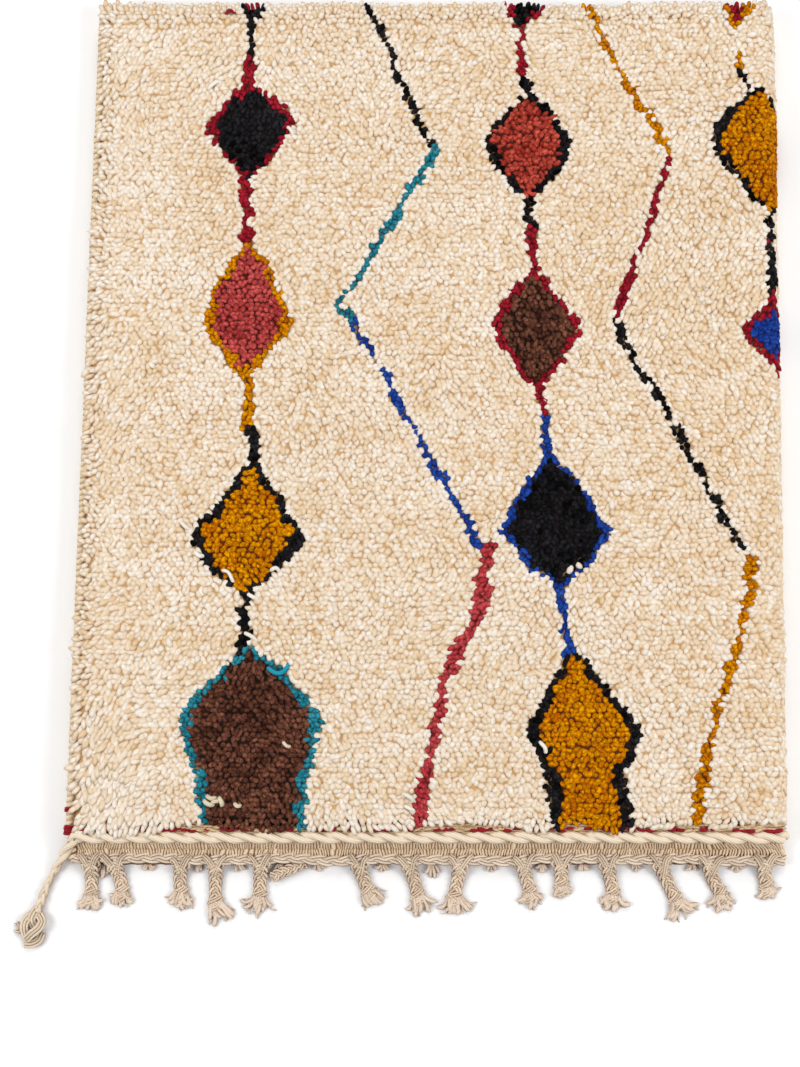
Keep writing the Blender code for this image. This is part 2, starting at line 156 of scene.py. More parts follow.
class Value:
    """A socket of a finish's nodes, which can be used in sums."""

    def __init__(self, nodes, socket=None):
        self.nodes = nodes
        self.socket = socket

    def node(self, kind, settings, sockets, output=0):
        """Add a node of a kind, with its settings and sockets, and return one output."""
        made = self.nodes.new("ShaderNode" + kind)
        for name, setting in settings.items():
            setattr(made, name, setting)
        feed(made, sockets)
        return Value(self.nodes, made.outputs[output])

    def maths(self, operation, first, second=0.0):
        return self.node("Math", {"operation": operation}, {0: first, 1: second})

    def named(self, name, output="Fac"):
        """A value that a piece's mesh holds for each of its points."""
        return self.node("Attribute", {"attribute_name": name}, {}, output)

    def noise(self, size, detail=2.0):
        """Noise with lumps of about a size, in metres."""
        place = self.node("TexCoord", {}, {}, "Object")
        sockets = {"Vector": place, "Scale": 1 / size, "Detail": detail}
        return self.node("TexNoise", {}, sockets, "Fac")

    def blend(self, first, second):
        """The colour that lies this share of the way from the first to the second."""
        sockets = {"Factor": self, 6: first, 7: second}
        return self.node("Mix", {"data_type": "RGBA"}, sockets, 2)

    def bump(self, strength, depth):
        """The surface raised by this height."""
        return self.node("Bump", {}, {"Height": self, "Strength": strength, "Distance": depth})

    def __add__(self, other):
        return self.maths("ADD", self, other)

    def __radd__(self, other):
        return self.maths("ADD", other, self)

    def __sub__(self, other):
        return self.maths("SUBTRACT", self, other)

    def __rsub__(self, other):
        return self.maths("SUBTRACT", other, self)

    def __mul__(self, other):
        return self.maths("MULTIPLY", self, other)

    def __rmul__(self, other):
        return self.maths("MULTIPLY", other, self)

    def __pow__(self, other):
        return self.maths("POWER", self, other)


def new_finish(name):
    """A material with its shader, and the value that its nodes start from."""
    finish = bpy.data.materials.new(name)
    finish.use_nodes = True
    nodes = finish.node_tree.nodes
    return finish, nodes["Principled BSDF"], Value(nodes)


def make_piece(name, points, faces, finish, details=()):
    """A piece on the rug, with named values for its points."""
    mesh = bpy.data.meshes.new(name)
    mesh.from_pydata(np.asarray(points).tolist(), [], faces)
    for detail, values in dict(details).items():
        values = np.asarray(values, dtype=np.float32)
        is_vector = values.ndim == 2
        kept = mesh.attributes.new(detail, "FLOAT_VECTOR" if is_vector else "FLOAT", "POINT")
        kept.data.foreach_set("vector" if is_vector else "value", values.ravel())
    mesh.shade_smooth()
    mesh.materials.append(finish)
    piece = bpy.data.objects.new(name, mesh)
    bpy.context.scene.collection.objects.link(piece)
    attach(piece, "root")
    return piece


def slab(columns, rows, low, high):
    """Points and faces of a closed slab on the laid-open rug, with lines at these places."""
    wide, deep = len(columns), len(rows)
    across, along = np.meshgrid(columns, rows, indexing="ij")
    across, along = across.ravel(), along.ravel()
    points = np.concatenate((lay(across, along, low), lay(across, along, high)))
    index = np.arange(wide * deep).reshape(wide, deep)
    top = wide * deep
    faces = []
    for column in range(wide - 1):
        for row in range(deep - 1):
            a, b = index[column, row], index[column + 1, row]
            c, d = index[column + 1, row + 1], index[column, row + 1]
            faces += [(d, c, b, a), (a + top, b + top, c + top, d + top)]
    rim = [*index[:, 0], *index[-1, 1:], *index[-2::-1, -1], *index[0, -2:0:-1]]
    for here, after in zip(rim, rim[1:] + rim[:1]):
        faces.append((here, after, after + top, here + top))
    return points, faces


ground_wool, shader, wool = new_finish("ground_wool")
place = wool.node("TexCoord", {}, {}, "Object")
sockets = {"Vector": place, "Scale": WEFT_SCALE, "Distortion": 2.0}
wefts = wool.node("TexWave", {"bands_direction": "Y"}, sockets, "Fac")
fibres = wool.noise(0.0012, 3.0)
feed(shader, {
    "Base Color": (wefts * 0.6 + fibres * 0.4).blend(shade(196, 160, 112), shade(228, 200, 156)),
    "Roughness": 0.8 + fibres * 0.15,
    "Normal": (wefts + fibres * 0.5).bump(0.5, 0.001),
    "Sheen Weight": 0.2,
})
columns = over_fold(0, CLOTH_STEP, 8, CLOTH_STEP)
points, faces = slab(columns, evenly(NEAR, FAR, 0.03), 0.0, CLOTH)
ground_cloth = make_piece("ground_cloth", points, faces, ground_wool)
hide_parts("rug_body")

# ---- Pile ----
# Hand-knotted tufts of soft woollen yarn, cut to a short shag: cream ground, lozenges in
# columns joined by short lines, and zigzags between them that change colour at each turn.
# Each tuft is a knot's cut end. They lie close like pebbles, and lean out at the rims.
TUFT_ROW = 0.0051
TUFT_COLUMN = 0.0057
TUFT_RADIUS = 0.0039
TUFT_JITTER = 0.0012
TUFT_SIDES = 8
FIRST_ROW = 0.0076
PAST_FAR = 0.0125
SIDE_GAP = 0.001
BARE_CORNER = (0.0045, 0.045)
SKIRT_DROP = 0.0034
CROWN_DROP = 0.0010
CROWN_WIDTH = 0.80
LUMPS = 0.0012
ROLL_REACH = FOLD_GAP / 2 + CLOTH + PILE * 0.8
ROLL_RUN = math.pi * ROLL_REACH
OUTER_ROLL_END = UPPER_WIDTH + ROLL_RUN
OUTER_WIDTH = OUTER_ROLL_END + LOWER_WIDTH
ROOT_LEVEL = CLOTH * 0.7
ROOT_DEPTH = CLOTH * 0.3
LOWER_TRIM = 0.0016
UNEVEN_TIPS = 0.0006
DYED_RISE = 0.0004
PRESSED_LEAN = 0.0024
OUTLINE_WANDER = 0.0030
WANDER_PITCH = 0.012
TUFT_SWAY = 0.0009
ROLL_SWAY = 0.0012
SWIRL = 0.0018
SWIRL_PITCH = 0.035
SWEEP_PITCH = 0.12
RIM_TUFTS = 0.016
BESIDE = 0.0075
RIM_DEPTH = 0.016
BED_DROP = 0.0019
BED_STEP = 0.0070
CREAM_PARTS = 4
# Curls: their size and sharpness, and how strongly cream and dyed yarn are bumped and painted with
# shade in their folds
CURL_SIZE = 0.0044
CURL_EDGE = 8
CREAM_CURL = 0.12
DYED_CURL = 0.58
DYED_RADIUS = 0.90
# How much of its tips' colour a tuft's crown keeps; the rest is painted shade from its roots
CREAM_CROWN = 0.76
DYED_CROWN = 0.64
PALE_SHARE = 0.05
BLEACHED = (245, 241, 233)
SHADED_BED_CREAM = (202, 162, 112)
RECESS_DEPTH = 0.0058
RECESSES = ((0.124, 0.026), (0.408, 0.050), (0.520, 0.012), (0.640, 0.018), (0.722, 0.036))

# Lozenges: the place of the widest point, the far and near points, half the width there, how
# the middle line drifts sideways on its way along, how its far and near sides bulge, the
# least half width, the outline's width, and the two yarns
LOZENGES = (
    # across, far, widest, near, half, drift, far bulge, near bulge, least, edge, fill, outline
    (0.1635, 0.560, 0.500, 0.4300, 0.050, 0.00, 1.0, 1.0, 0.0, 0.0120, "crimson", "black"),
    (0.1665, 0.360, 0.313, 0.2540, 0.048, 0.00, 1.5, 1.25, 0.0, 0.0080, "black", "crimson"),
    (0.1655, 0.184, 0.095, 0.0300, 0.049, 0.00, 1.3, 1.1, 0.0, 0.0100, "rose", "mustard"),
    (0.1740, -0.050, -0.136, -0.1990, 0.063, 0.06, 0.97, 1.25, 0.0, 0.0105, "mustard", "black"),
    (0.1838, -0.253, -0.334, -0.5400, 0.075, -0.03, 1.22, 1.0, 0.057, 0.0100, "brown", "teal"),
    (0.4600, 0.580, 0.500, 0.4138, 0.050, 0.00, 1.0, 1.0, 0.0, 0.0100, "black", "crimson"),
    (0.4685, 0.354, 0.297, 0.2280, 0.050, -0.03, 1.1, 1.3, 0.0, 0.0080, "brick", "black"),
    (0.4780, 0.158, 0.090, 0.0150, 0.048, -0.05, 1.15, 1.1, 0.0, 0.0095, "brown", "crimson"),
    (0.5010, -0.047, -0.134, -0.1960, 0.062, -0.07, 1.1, 1.05, 0.0, 0.0080, "black", "blue"),
    (0.5300, -0.252, -0.344, -0.4570, 0.062, -0.10, 1.0, 1.0, 0.042, 0.0115, "mustard", "black"),
    (0.6970, 0.560, 0.480, 0.4150, 0.031, 0.02, 1.0, 1.0, 0.0, 0.0095, "crimson", "mustard"),
    (0.7230, 0.355, 0.297, 0.2060, 0.058, -0.11, 1.2, 1.1, 0.0, 0.0085, "mustard", "black"),
    (0.7340, 0.128, 0.086, 0.0380, 0.038, 0.00, 1.0, 1.0, 0.0, 0.0100, "blue", "crimson"),
)

# Lines of one to three knots: where each starts and ends, half its width, and its yarn
LINES = (
    # across, along, to across, to along, half width, yarn
    (0.1640, 0.4320, 0.1630, 0.390, 0.0038, "black"),
    (0.1640, 0.390, 0.1622, 0.357, 0.0060, "crimson"),
    (0.1632, 0.257, 0.1642, 0.178, 0.0062, "crimson"),
    (0.1690, 0.038, 0.1730, -0.021, 0.0056, "mustard"),
    (0.1770, -0.021, 0.1800, -0.056, 0.0040, "black"),
    (0.1737, -0.195, 0.1754, -0.260, 0.0055, "black"),
    (0.4596, 0.416, 0.4609, 0.371, 0.0052, "crimson"),
    (0.4640, 0.371, 0.4650, 0.354, 0.0038, "black"),
    (0.4692, 0.237, 0.4715, 0.198, 0.0066, "black"),
    (0.4715, 0.198, 0.4760, 0.150, 0.0054, "crimson"),
    (0.4841, 0.022, 0.4863, -0.012, 0.0046, "crimson"),
    (0.4863, -0.012, 0.4905, -0.051, 0.0050, "blue"),
    (0.5068, -0.193, 0.5140, -0.258, 0.0049, "blue"),
    (0.7000, 0.392, 0.7030, 0.374, 0.0036, "mustard"),
    (0.7045, 0.370, 0.7080, 0.356, 0.0036, "black"),
    (0.7300, 0.210, 0.7335, 0.126, 0.0052, "black"),
    (0.2885, 0.460, 0.3678, 0.288, 0.0033, "black"),
    (0.3678, 0.288, 0.2640, 0.110, 0.0039, "teal"),
    (0.2640, 0.110, 0.2809, 0.098, 0.0040, "teal"),
    (0.2840, 0.094, 0.4200, -0.149, 0.0037, "blue"),
    (0.4310, -0.151, 0.4220, -0.206, 0.0062, "raspberry"),
    (0.4220, -0.206, 0.4105, -0.237, 0.0064, "raspberry"),
    (0.4105, -0.237, 0.3864, -0.289, 0.0062, "raspberry"),
    (0.3864, -0.289, 0.3708, -0.372, 0.0056, "raspberry"),
    (0.3708, -0.372, 0.3563, -0.445, 0.0060, "raspberry"),
    (0.5285, 0.456, 0.6204, 0.286, 0.0040, "mustard"),
    (0.6240, 0.281, 0.5640, 0.098, 0.0037, "crimson"),
    (0.5640, 0.094, 0.6975, -0.154, 0.0033, "black"),
    (0.7035, -0.162, 0.7010, -0.196, 0.0040, "mustard"),
    (0.7010, -0.196, 0.6880, -0.255, 0.0040, "mustard"),
    (0.6880, -0.255, 0.6640, -0.331, 0.0043, "mustard"),
    (0.6640, -0.331, 0.6449, -0.445, 0.0049, "mustard"),
)

# Single tufts of a stray yarn
STRAYS = (
    # across, along, yarn
    (0.7271, 0.185, "crimson"),
    (0.5240, -0.168, "cream"),
    (0.5140, -0.172, "cream"),
)

# Yarns: the pale and the warm shade of its tips, and the painted shade at its roots, deep between the
# tufts
YARNS = {
    "cream": ((250, 243, 231), (232, 207, 171), (186, 140, 88)),
    "black": ((48, 46, 49), (7, 6, 7), (0, 0, 1)),
    "crimson": ((192, 39, 56), (147, 20, 37), (62, 5, 12)),
    "raspberry": ((227, 92, 95), (189, 57, 64), (94, 18, 24)),
    "rose": ((238, 104, 98), (178, 58, 56), (72, 12, 15)),
    "brick": ((236, 102, 82), (170, 52, 40), (68, 9, 6)),
    "mustard": ((255, 174, 0), (211, 116, 0), (88, 34, 0)),
    "teal": ((60, 166, 184), (28, 123, 143), (5, 46, 57)),
    "blue": ((47, 93, 194), (28, 61, 152), (7, 18, 64)),
    "brown": ((148, 93, 72), (74, 40, 29), (5, 1, 1)),
}
YARN_NAMES = list(YARNS)
CREAM = YARN_NAMES.index("cream")


def ripple(across, along, pitch, seed):
    """A smooth random swell from -1 to 1, with about one lump in each pitch."""
    lattice = np.random.default_rng(seed).uniform(-1, 1, (64, 64))
    x, y = across / pitch + 64, along / pitch + 640
    column, row = np.floor(x).astype(int), np.floor(y).astype(int)
    right, above = smooth(x - column), smooth(y - row)
    corners = [[lattice[(column + i) % 64, (row + j) % 64] for i in (0, 1)] for j in (0, 1)]
    lower, upper = (pair[0] + (pair[1] - pair[0]) * right for pair in corners)
    return lower + (upper - lower) * above


def choose_yarns(across, along):
    """The yarn of each tuft, and how close to a coloured one each cream tuft stands."""
    yarn = np.full(across.shape, CREAM)
    beside = np.full(across.shape, -1.0)
    x = across + OUTLINE_WANDER * ripple(across, along, WANDER_PITCH, 21)
    x = x + 0.0020 * ripple(across, along, 0.03, 25)
    y = along + OUTLINE_WANDER * ripple(across, along, WANDER_PITCH, 22)
    for start_x, start_y, end_x, end_y, width, name in LINES:
        run_x, run_y = end_x - start_x, end_y - start_y
        share = ((x - start_x) * run_x + (y - start_y) * run_y) / (run_x**2 + run_y**2)
        share = np.clip(share, 0, 1)
        away = np.hypot(x - start_x - run_x * share, y - start_y - run_y * share)
        half = width * (1 + 0.35 * ripple(across, along, WANDER_PITCH, 23))
        yarn[away < half] = YARN_NAMES.index(name)
        beside = np.maximum(beside, half - away)
    for *sizes, fill, outline in LOZENGES:
        middle, far, widest, near, half, drift, far_bulge, near_bulge, least, edge = sizes
        is_far = y > widest
        reach = np.where(is_far, far - widest, widest - near)
        bulge = np.where(is_far, far_bulge, near_bulge)
        share = np.abs(y - widest) / reach
        here = half * (1 - np.minimum(share, 1) ** bulge) ** (1 / bulge)
        here = np.where(share < 1, here, -1.0)
        here = np.where(is_far | (least == 0), here, np.maximum(here, least))
        aside = np.abs(x - middle - drift * (y - widest))
        inside = (here - aside) * reach / np.hypot(reach, half)
        rim = edge * (0.55 + 0.45 * here / half) * (1 + 0.50 * ripple(across, along, 0.014, 24))
        yarn[inside > 0] = YARN_NAMES.index(outline)
        yarn[inside > rim] = YARN_NAMES.index(fill)
        beside = np.maximum(beside, inside)
    for stray_x, stray_y, name in STRAYS:
        nearest = np.argmin(np.hypot(across - stray_x, along - stray_y))
        yarn[nearest] = YARN_NAMES.index(name)
    beside = np.where(yarn == CREAM, smooth(1 + beside / BESIDE), 0.0)
    return yarn, beside


def from_rim(from_side, along):
    """How far a place is from the nearest of one side and the near and far ends."""
    return np.minimum(np.minimum(from_side, along - NEAR), FAR - along)


def pile_height(outer, along, angle):
    """How high the pile's tips stand above the tufts' roots."""
    height = PILE * (1 - (1 - ROLL_PILE) * np.sin(angle)) + ROOT_DEPTH
    height += LUMPS * ripple(outer, along * 1.6, 0.045, 33)
    crease = within(abs(FAR - along - 0.003), 0.0045)
    crease = crease * smooth(0.6 + ripple(outer, 0 * along, 0.06, 37))
    height -= 0.0020 * within(outer, 0.018)
    return height - 0.0022 * within(from_rim(outer, along), 0.012) - 0.0024 * crease


# Tufts are set out along the pile's tips, where the way round the roll is longest
chance = np.random.default_rng(7)
rows = np.arange(NEAR + FIRST_ROW, FAR + PAST_FAR, TUFT_ROW)
columns = np.arange(SIDE_GAP, OUTER_WIDTH - SIDE_GAP, TUFT_COLUMN)
outer, along = np.meshgrid(columns, rows)
outer = (outer + TUFT_COLUMN / 2 * (np.arange(len(rows)) % 2)[:, None]).ravel()
along = along.ravel()
outer = outer + chance.uniform(-TUFT_JITTER, TUFT_JITTER, outer.shape)
along = along + chance.uniform(-TUFT_JITTER, TUFT_JITTER, along.shape)
for middle, half in RECESSES:
    drawn_back = smooth(1.4 - abs(outer - middle) / half) * within(along - NEAR, 0.03)
    along += RECESS_DEPTH * drawn_back
is_kept = (outer < OUTER_ROLL_END) | (from_rim(OUTER_WIDTH - outer, along) < RIM_DEPTH)
is_kept &= outer < OUTER_WIDTH - SIDE_GAP
is_kept &= (outer > BARE_CORNER[0]) | (along > NEAR + BARE_CORNER[1])
outer, along = outer[is_kept], along[is_kept]
on_roll = np.clip((outer - UPPER_WIDTH) / ROLL_RUN, 0, 1)
across = np.minimum(outer, UPPER_WIDTH) + ROLL_WIDTH * on_roll
across += np.maximum(outer - UPPER_WIDTH - ROLL_RUN, 0)
angle = math.pi * on_roll
is_lower = outer > OUTER_ROLL_END
count = len(outer)

yarn, beside = choose_yarns(outer, along)
is_dyed = yarn != CREAM
from_left = np.where(is_lower, OUTER_WIDTH - outer, outer)
from_near = along - NEAR
from_far = FAR - along

# They lean a little with their neighbours, and further out along the rims
corner = within(np.hypot(from_left, from_near * 0.8), 0.17)
lean_out = 0.0030 * within(from_left, 0.014) + 0.0022 * within(from_left, 0.150)
lean_out -= 0.0060 * within(from_left, 0.012) * within(from_near - 0.02, 0.04)
lean_x = TUFT_SWAY * chance.normal(size=count) + SWIRL * ripple(outer, along, SWIRL_PITCH, 31)
lean_x += 0.0026 * ripple(outer, along, SWEEP_PITCH, 35)
lean_x -= (lean_out + 0.0024 * corner) * np.where(is_lower, -1, 1)
lean_y = TUFT_SWAY * chance.normal(size=count) + SWIRL * ripple(outer, along, SWIRL_PITCH, 32)
lean_y += 0.0022 * ripple(outer, along, SWEEP_PITCH, 36) - 0.0016 - 0.0040 * corner
beyond = np.maximum(0.002 - from_far, 0.0)
lean_y += 0.0035 * within(from_far, 0.022) + beyond
hang = 0.6 + 1.2 * ripple(outer, 0 * along, 0.03, 38) + 0.4 * chance.normal(size=count)
lean_y -= 0.0022 * within(from_near, 0.016) * hang
uneven_rim = 0.0018 * ripple(outer, 0 * along, 0.006, 39) * within(from_far, 0.012)
lean_y += np.where(is_lower, uneven_rim, 0.0)
lean_x += ROLL_SWAY * np.sin(angle) * chance.normal(size=count)

# Their tips end at uneven heights, and some are pressed long and narrow the way they lean
height = np.where(is_lower, PILE + ROOT_DEPTH - LOWER_TRIM, pile_height(outer, along, angle))
height += np.where(is_lower, 0.0, UNEVEN_TIPS * np.clip(chance.normal(size=count), -1.6, 1.6))
height += np.where(is_dyed & ~is_lower, DYED_RISE, 0.0) - 0.4 * beyond
radius = TUFT_RADIUS * chance.uniform(0.86, 1.16, count) * (1 + 0.08 * corner)
radius *= np.where(is_dyed, DYED_RADIUS, 1.0)
lean = np.hypot(lean_x, lean_y)
stretch = 1.04 + 0.55 * chance.random(count) ** 1.6 + 0.50 * smooth((lean - 0.001) / 0.010)
stretch -= 0.35 * within(from_far, 0.010)
stretch += 0.45 * within(from_near, 0.024) + 0.25 * within(from_left, 0.12)
any_way = chance.uniform(0, math.tau, count)
spin = np.where(lean > PRESSED_LEAN, np.arctan2(lean_y, lean_x), any_way)
spin += 0.3 * chance.normal(size=count)
at_rim = from_rim(from_left, along) < RIM_TUFTS

# Each is a ring round its foot, a ring round its crown, and a tip
root = lay(across, along - beyond, ROOT_LEVEL)
out = outward(across)
aside = np.stack((np.cos(angle), 0 * angle, -np.sin(angle)), axis=-1)
forth = np.array((0.0, 1.0, 0.0))
uneven = chance.uniform(0.89, 1.10, (count, TUFT_SIDES))
rings = []
skirt_drop = np.where(at_rim, height, SKIRT_DROP)
for drop, wide, leaning, turned in (
    (skirt_drop, np.where(at_rim, 0.75, 1.0), np.where(at_rim, 0.0, 0.35), 0.0),
    (CROWN_DROP, CROWN_WIDTH, 0.88, 0.5),
    (0.0, 0.0, 1.0, 0.0),
):
    turn = (np.arange(TUFT_SIDES) + turned) * math.tau / TUFT_SIDES
    long_x = uneven * np.cos(turn) * (radius * stretch * wide)[:, None]
    long_y = uneven * np.sin(turn) * (radius / stretch**0.35 * wide)[:, None]
    ring_x = long_x * np.cos(spin)[:, None] - long_y * np.sin(spin)[:, None]
    ring_y = long_x * np.sin(spin)[:, None] + long_y * np.cos(spin)[:, None]
    side_x = (lean_x * leaning)[:, None] + ring_x
    side_y = (lean_y * leaning)[:, None] + ring_y
    rise = (height - drop)[:, None]
    place = root[:, None] + out[:, None] * rise[..., None] + aside[:, None] * side_x[..., None]
    rings.append(place + forth * side_y[..., None])
tuft_points = np.concatenate((*rings[:2], rings[2][:, :1]), axis=1)
tuft_points[..., 2] = np.maximum(tuft_points[..., 2], PARTING)
TUFT_POINTS = 2 * TUFT_SIDES + 1
# How far each ring is from the painted root shade to the tips' colour: the skirt nearly all shade
tuft_rise = np.full((count, TUFT_POINTS), 1.0)
tuft_rise[:, :TUFT_SIDES] = 0.05
tuft_rise[:, TUFT_SIDES:-1] = np.where(is_dyed, DYED_CROWN, CREAM_CROWN)[:, None]
tuft_faces = []
for side in range(TUFT_SIDES):
    after = (side + 1) % TUFT_SIDES
    crown, next_crown = side + TUFT_SIDES, after + TUFT_SIDES
    tuft_faces.append((side, after, crown))
    tuft_faces.append((after, next_crown, crown))
    tuft_faces.append((crown, next_crown, 2 * TUFT_SIDES))

# Yarn varies in shade by patches and from tuft to tuft, and cream is palest beside the dyes
tone = 0.5 + 0.22 * ripple(outer, along * 2.2, 0.06, 34) + 0.24 * chance.normal(size=count)
tone = np.clip(tone - 0.16 * (outer - 0.35), 0, 1)
bleach = np.clip(beside * chance.uniform(0.35, 1.0, count), 0, 1)
bleach = np.maximum(bleach, 0.75 * ((chance.random(count) < PALE_SHARE) & ~is_dyed))
bleach = np.maximum(bleach, 0.55 * within(from_near, 0.024) * ~is_dyed)


def raise_tufts(name, chosen, finish):
    """The chosen tufts as one piece."""
    number = int(chosen.sum())
    faces = [
        tuple(point + TUFT_POINTS * tuft for point in face)
        for tuft in range(number)
        for face in tuft_faces
    ]
    details = {
        "rise": tuft_rise[chosen].ravel(),
        "tone": np.repeat(tone[chosen], TUFT_POINTS),
        "bleach": np.repeat(bleach[chosen], TUFT_POINTS),
    }
    return make_piece(name, tuft_points[chosen].reshape(-1, 3), faces, finish, details)


def pile_wool(name, pale, warm, roots, curl):
    """Soft cut yarn of one colour: tips pale or warm, with painted shade deepening towards the roots
    and in the folds where it curls in.
    """
    finish, shader, wool = new_finish(name)
    fibres = wool.noise(0.0009, 3.0)
    # Curls: folds that are bumped, and darkened with painted shade
    off_fold = wool.maths("ABSOLUTE", wool.noise(CURL_SIZE, 1.0) - 0.5)
    folds = wool.maths("MAXIMUM", 1 - off_fold * CURL_EDGE, 0.0) * curl
    tips = wool.named("tone").blend(shade(*warm), shade(*pale))
    tips = wool.named("bleach").blend(tips, shade(*BLEACHED))
    # Painted shade: the colour falls from the tips' to the roots' down the tuft, between its
    # neighbours, and in the curls' folds
    depth = wool.named("rise") * (0.86 + fibres * 0.28) * (1 - folds)
    feed(shader, {
        "Base Color": depth.blend(shade(*roots), tips),
        "Roughness": 0.72 + fibres * 0.2,
        "Normal": (fibres - folds).bump(0.35, 0.0007),
        "Specular IOR Level": 0.02,
        "Sheen Weight": 0.02,
        "Sheen Roughness": 0.5,
    })
    return finish


length_part = np.clip((along - NEAR) / PILE_LENGTH * CREAM_PARTS, 0, CREAM_PARTS - 1) // 1
for index, (name, shades) in enumerate(YARNS.items()):
    finish = pile_wool(name + "_pile", *shades, CREAM_CURL if index == CREAM else DYED_CURL)
    chosen = yarn == index
    if index == CREAM:
        for part in range(CREAM_PARTS):
            is_here = length_part == part
            raise_tufts(f"pile_cream_{part + 1}", chosen & is_here, finish)
    else:
        raise_tufts("pile_" + name, chosen, finish)

# The thick of the pile, a little below the tips, coloured with each yarn's painted root shade, for
# the shade down between the tufts
columns = over_fold(0.001, BED_STEP, 9)
rows = evenly(NEAR + 0.013, FAR - 0.004, BED_STEP)
across, along = (line.ravel() for line in np.meshgrid(columns, rows, indexing="ij"))
angle = roll_angle(across)
outer = np.minimum(across, UPPER_WIDTH) + ROLL_RUN * angle / math.pi
inset = from_rim(outer, along)
high = ROOT_LEVEL + pile_height(outer, along, angle) - BED_DROP
high = high - np.where(along < NEAR + 0.02, 0.004, 0.002) * within(inset - 0.004, 0.008)
# Painted shade: each yarn's root colour, and for cream a colour darker than its tips
shaded_root_colours = np.array([shade(*shades[-1])[:3] for shades in YARNS.values()])
shaded_root_colours[CREAM] = shade(*SHADED_BED_CREAM)[:3]
yarn = choose_yarns(outer, along)[0]
points, faces = slab(columns, rows, CLOTH, high)
bed_wool, shader, wool = new_finish("thick_of_pile")
fibres = wool.noise(0.0012, 3.0)
feed(shader, {
    "Base Color": (fibres * 0.08).blend(wool.named("shaded_dye", "Color"), shade(120, 84, 54)),
    "Roughness": 0.85 + fibres * 0.1,
    "Normal": fibres.bump(0.5, 0.001),
    "Specular IOR Level": 0.2,
})
details = {"shaded_dye": np.tile(shaded_root_colours[yarn], (2, 1))}
make_piece("pile_bed", points, faces, bed_wool, details)

under_finish = pile_wool("under_pile", *YARNS["cream"], CREAM_CURL)
RIM_STEP = 0.010
columns = evenly(ROLL_END + 0.004, OPEN_WIDTH - RIM_STEP, 0.03)
points, faces = slab(columns, evenly(NEAR + RIM_STEP, FAR - RIM_STEP, 0.03), CLOTH, THICKNESS)
# Nearly the tips' colour, with a little of the painted root shade
details = {"rise": np.full(len(points), 0.9), "tone": np.full(len(points), 0.4)}
make_piece("pile_under", points, faces, under_finish, details)

# ---- Weft ends ----
# The last wefts before the cord, in red and undyed wool, beaten in close on the ground cloth.
# Short floats of them show between the pile and the cord, and some go round the selvage. At
# the far end they lie bare along the cloth's edge.
WEFT_RADIUS = 0.0021
WEFT_TOP = 0.0136
WEFT_PLACE = NEAR + 0.0016
WEFT_ARCH = 0.5
WEFT_LENGTHS = (0.006, 0.013)
RED_SHARE = 0.6
SUNK_WEFTS = (-0.0010, 0.0022, 0.0052)
RECESS_WEFTS = (0.0040, 0.0066, 0.0094)
RED_WRAPS = (-0.425, -0.4435, -0.4485)
WRAP_RADIUS = 0.0052
WRAP_TURNS = 1.4
FAR_WEFTS = (
    # level, tone
    (0.0008, 0.8),
    (0.0026, 1.0),
    (0.0041, 0.9),
)


def distances(path):
    """How far along a path each of its places is."""
    return np.concatenate(([0], np.cumsum(np.linalg.norm(np.diff(path, axis=0), axis=1))))


class Skein:
    """Strands of yarn gathered up, to be made as one piece."""

    def __init__(self):
        self.points = []
        self.faces = []
        self.wind = []
        self.tone = []
        self.count = 0

    def add(self, path, wide, high=None, facing=(0, 0, 1), sides=5, tone=0.5):
        """Add a strand along a path, this wide and high to each side, with rounded ends."""
        path = np.array(path, dtype=float)
        wide = np.broadcast_to(wide, len(path))
        high = wide if high is None else np.broadcast_to(high, len(path))
        path[:, 2] = np.maximum(path[:, 2], high)
        forward, aside, rise = headings(path, facing)
        turn = np.arange(sides) * math.tau / sides
        ring = aside[:, None] * (np.cos(turn) * wide[:, None])[..., None]
        ring = ring + rise[:, None] * (np.sin(turn) * high[:, None])[..., None]
        tips = path[[0, -1]] + forward[[0, -1]] * np.array([[-0.7], [0.7]]) * wide[[0, -1], None]
        self.points += [(path[:, None] + ring).reshape(-1, 3), tips]
        run = distances(path)
        wind = np.zeros((len(path), sides, 3))
        wind[..., 0], wind[..., 1], wind[..., 2] = np.cos(turn), np.sin(turn), run[:, None]
        self.wind += [wind.reshape(-1, 3), [(0, 0, run[0]), (0, 0, run[-1])]]
        self.tone.append(np.full(len(path) * sides + 2, tone))
        first = self.count
        ring_index = first + np.arange(len(path) * sides).reshape(-1, sides)
        after = np.roll(ring_index, -1, axis=1)
        quads = np.stack((ring_index[:-1], ring_index[1:], after[1:], after[:-1]), axis=-1)
        self.faces += quads.reshape(-1, 4).tolist()
        start, end = first + ring_index.size, first + ring_index.size + 1
        for here, there in zip(ring_index[0].tolist(), after[0].tolist()):
            self.faces.append((start, here, there))
        for here, there in zip(ring_index[-1].tolist(), after[-1].tolist()):
            self.faces.append((end, there, here))
        self.count += ring_index.size + 2

    def make(self, name, finish, slot):
        """All the strands as one piece."""
        details = {"wind": np.concatenate(self.wind), "tone": np.concatenate(self.tone)}
        piece = make_piece(name, np.concatenate(self.points), self.faces, finish, details)
        return piece


def unit(vectors):
    """The vectors at a length of 1."""
    return vectors / np.maximum(np.linalg.norm(vectors, axis=-1, keepdims=True), 1e-9)


def headings(path, facing):
    """The ways forward, aside and up at each place of a path whose top side faces a way."""
    forward = unit(np.gradient(path, axis=0))
    aside = unit(np.cross(forward, np.broadcast_to(facing, path.shape)))
    return forward, aside, np.cross(aside, forward)


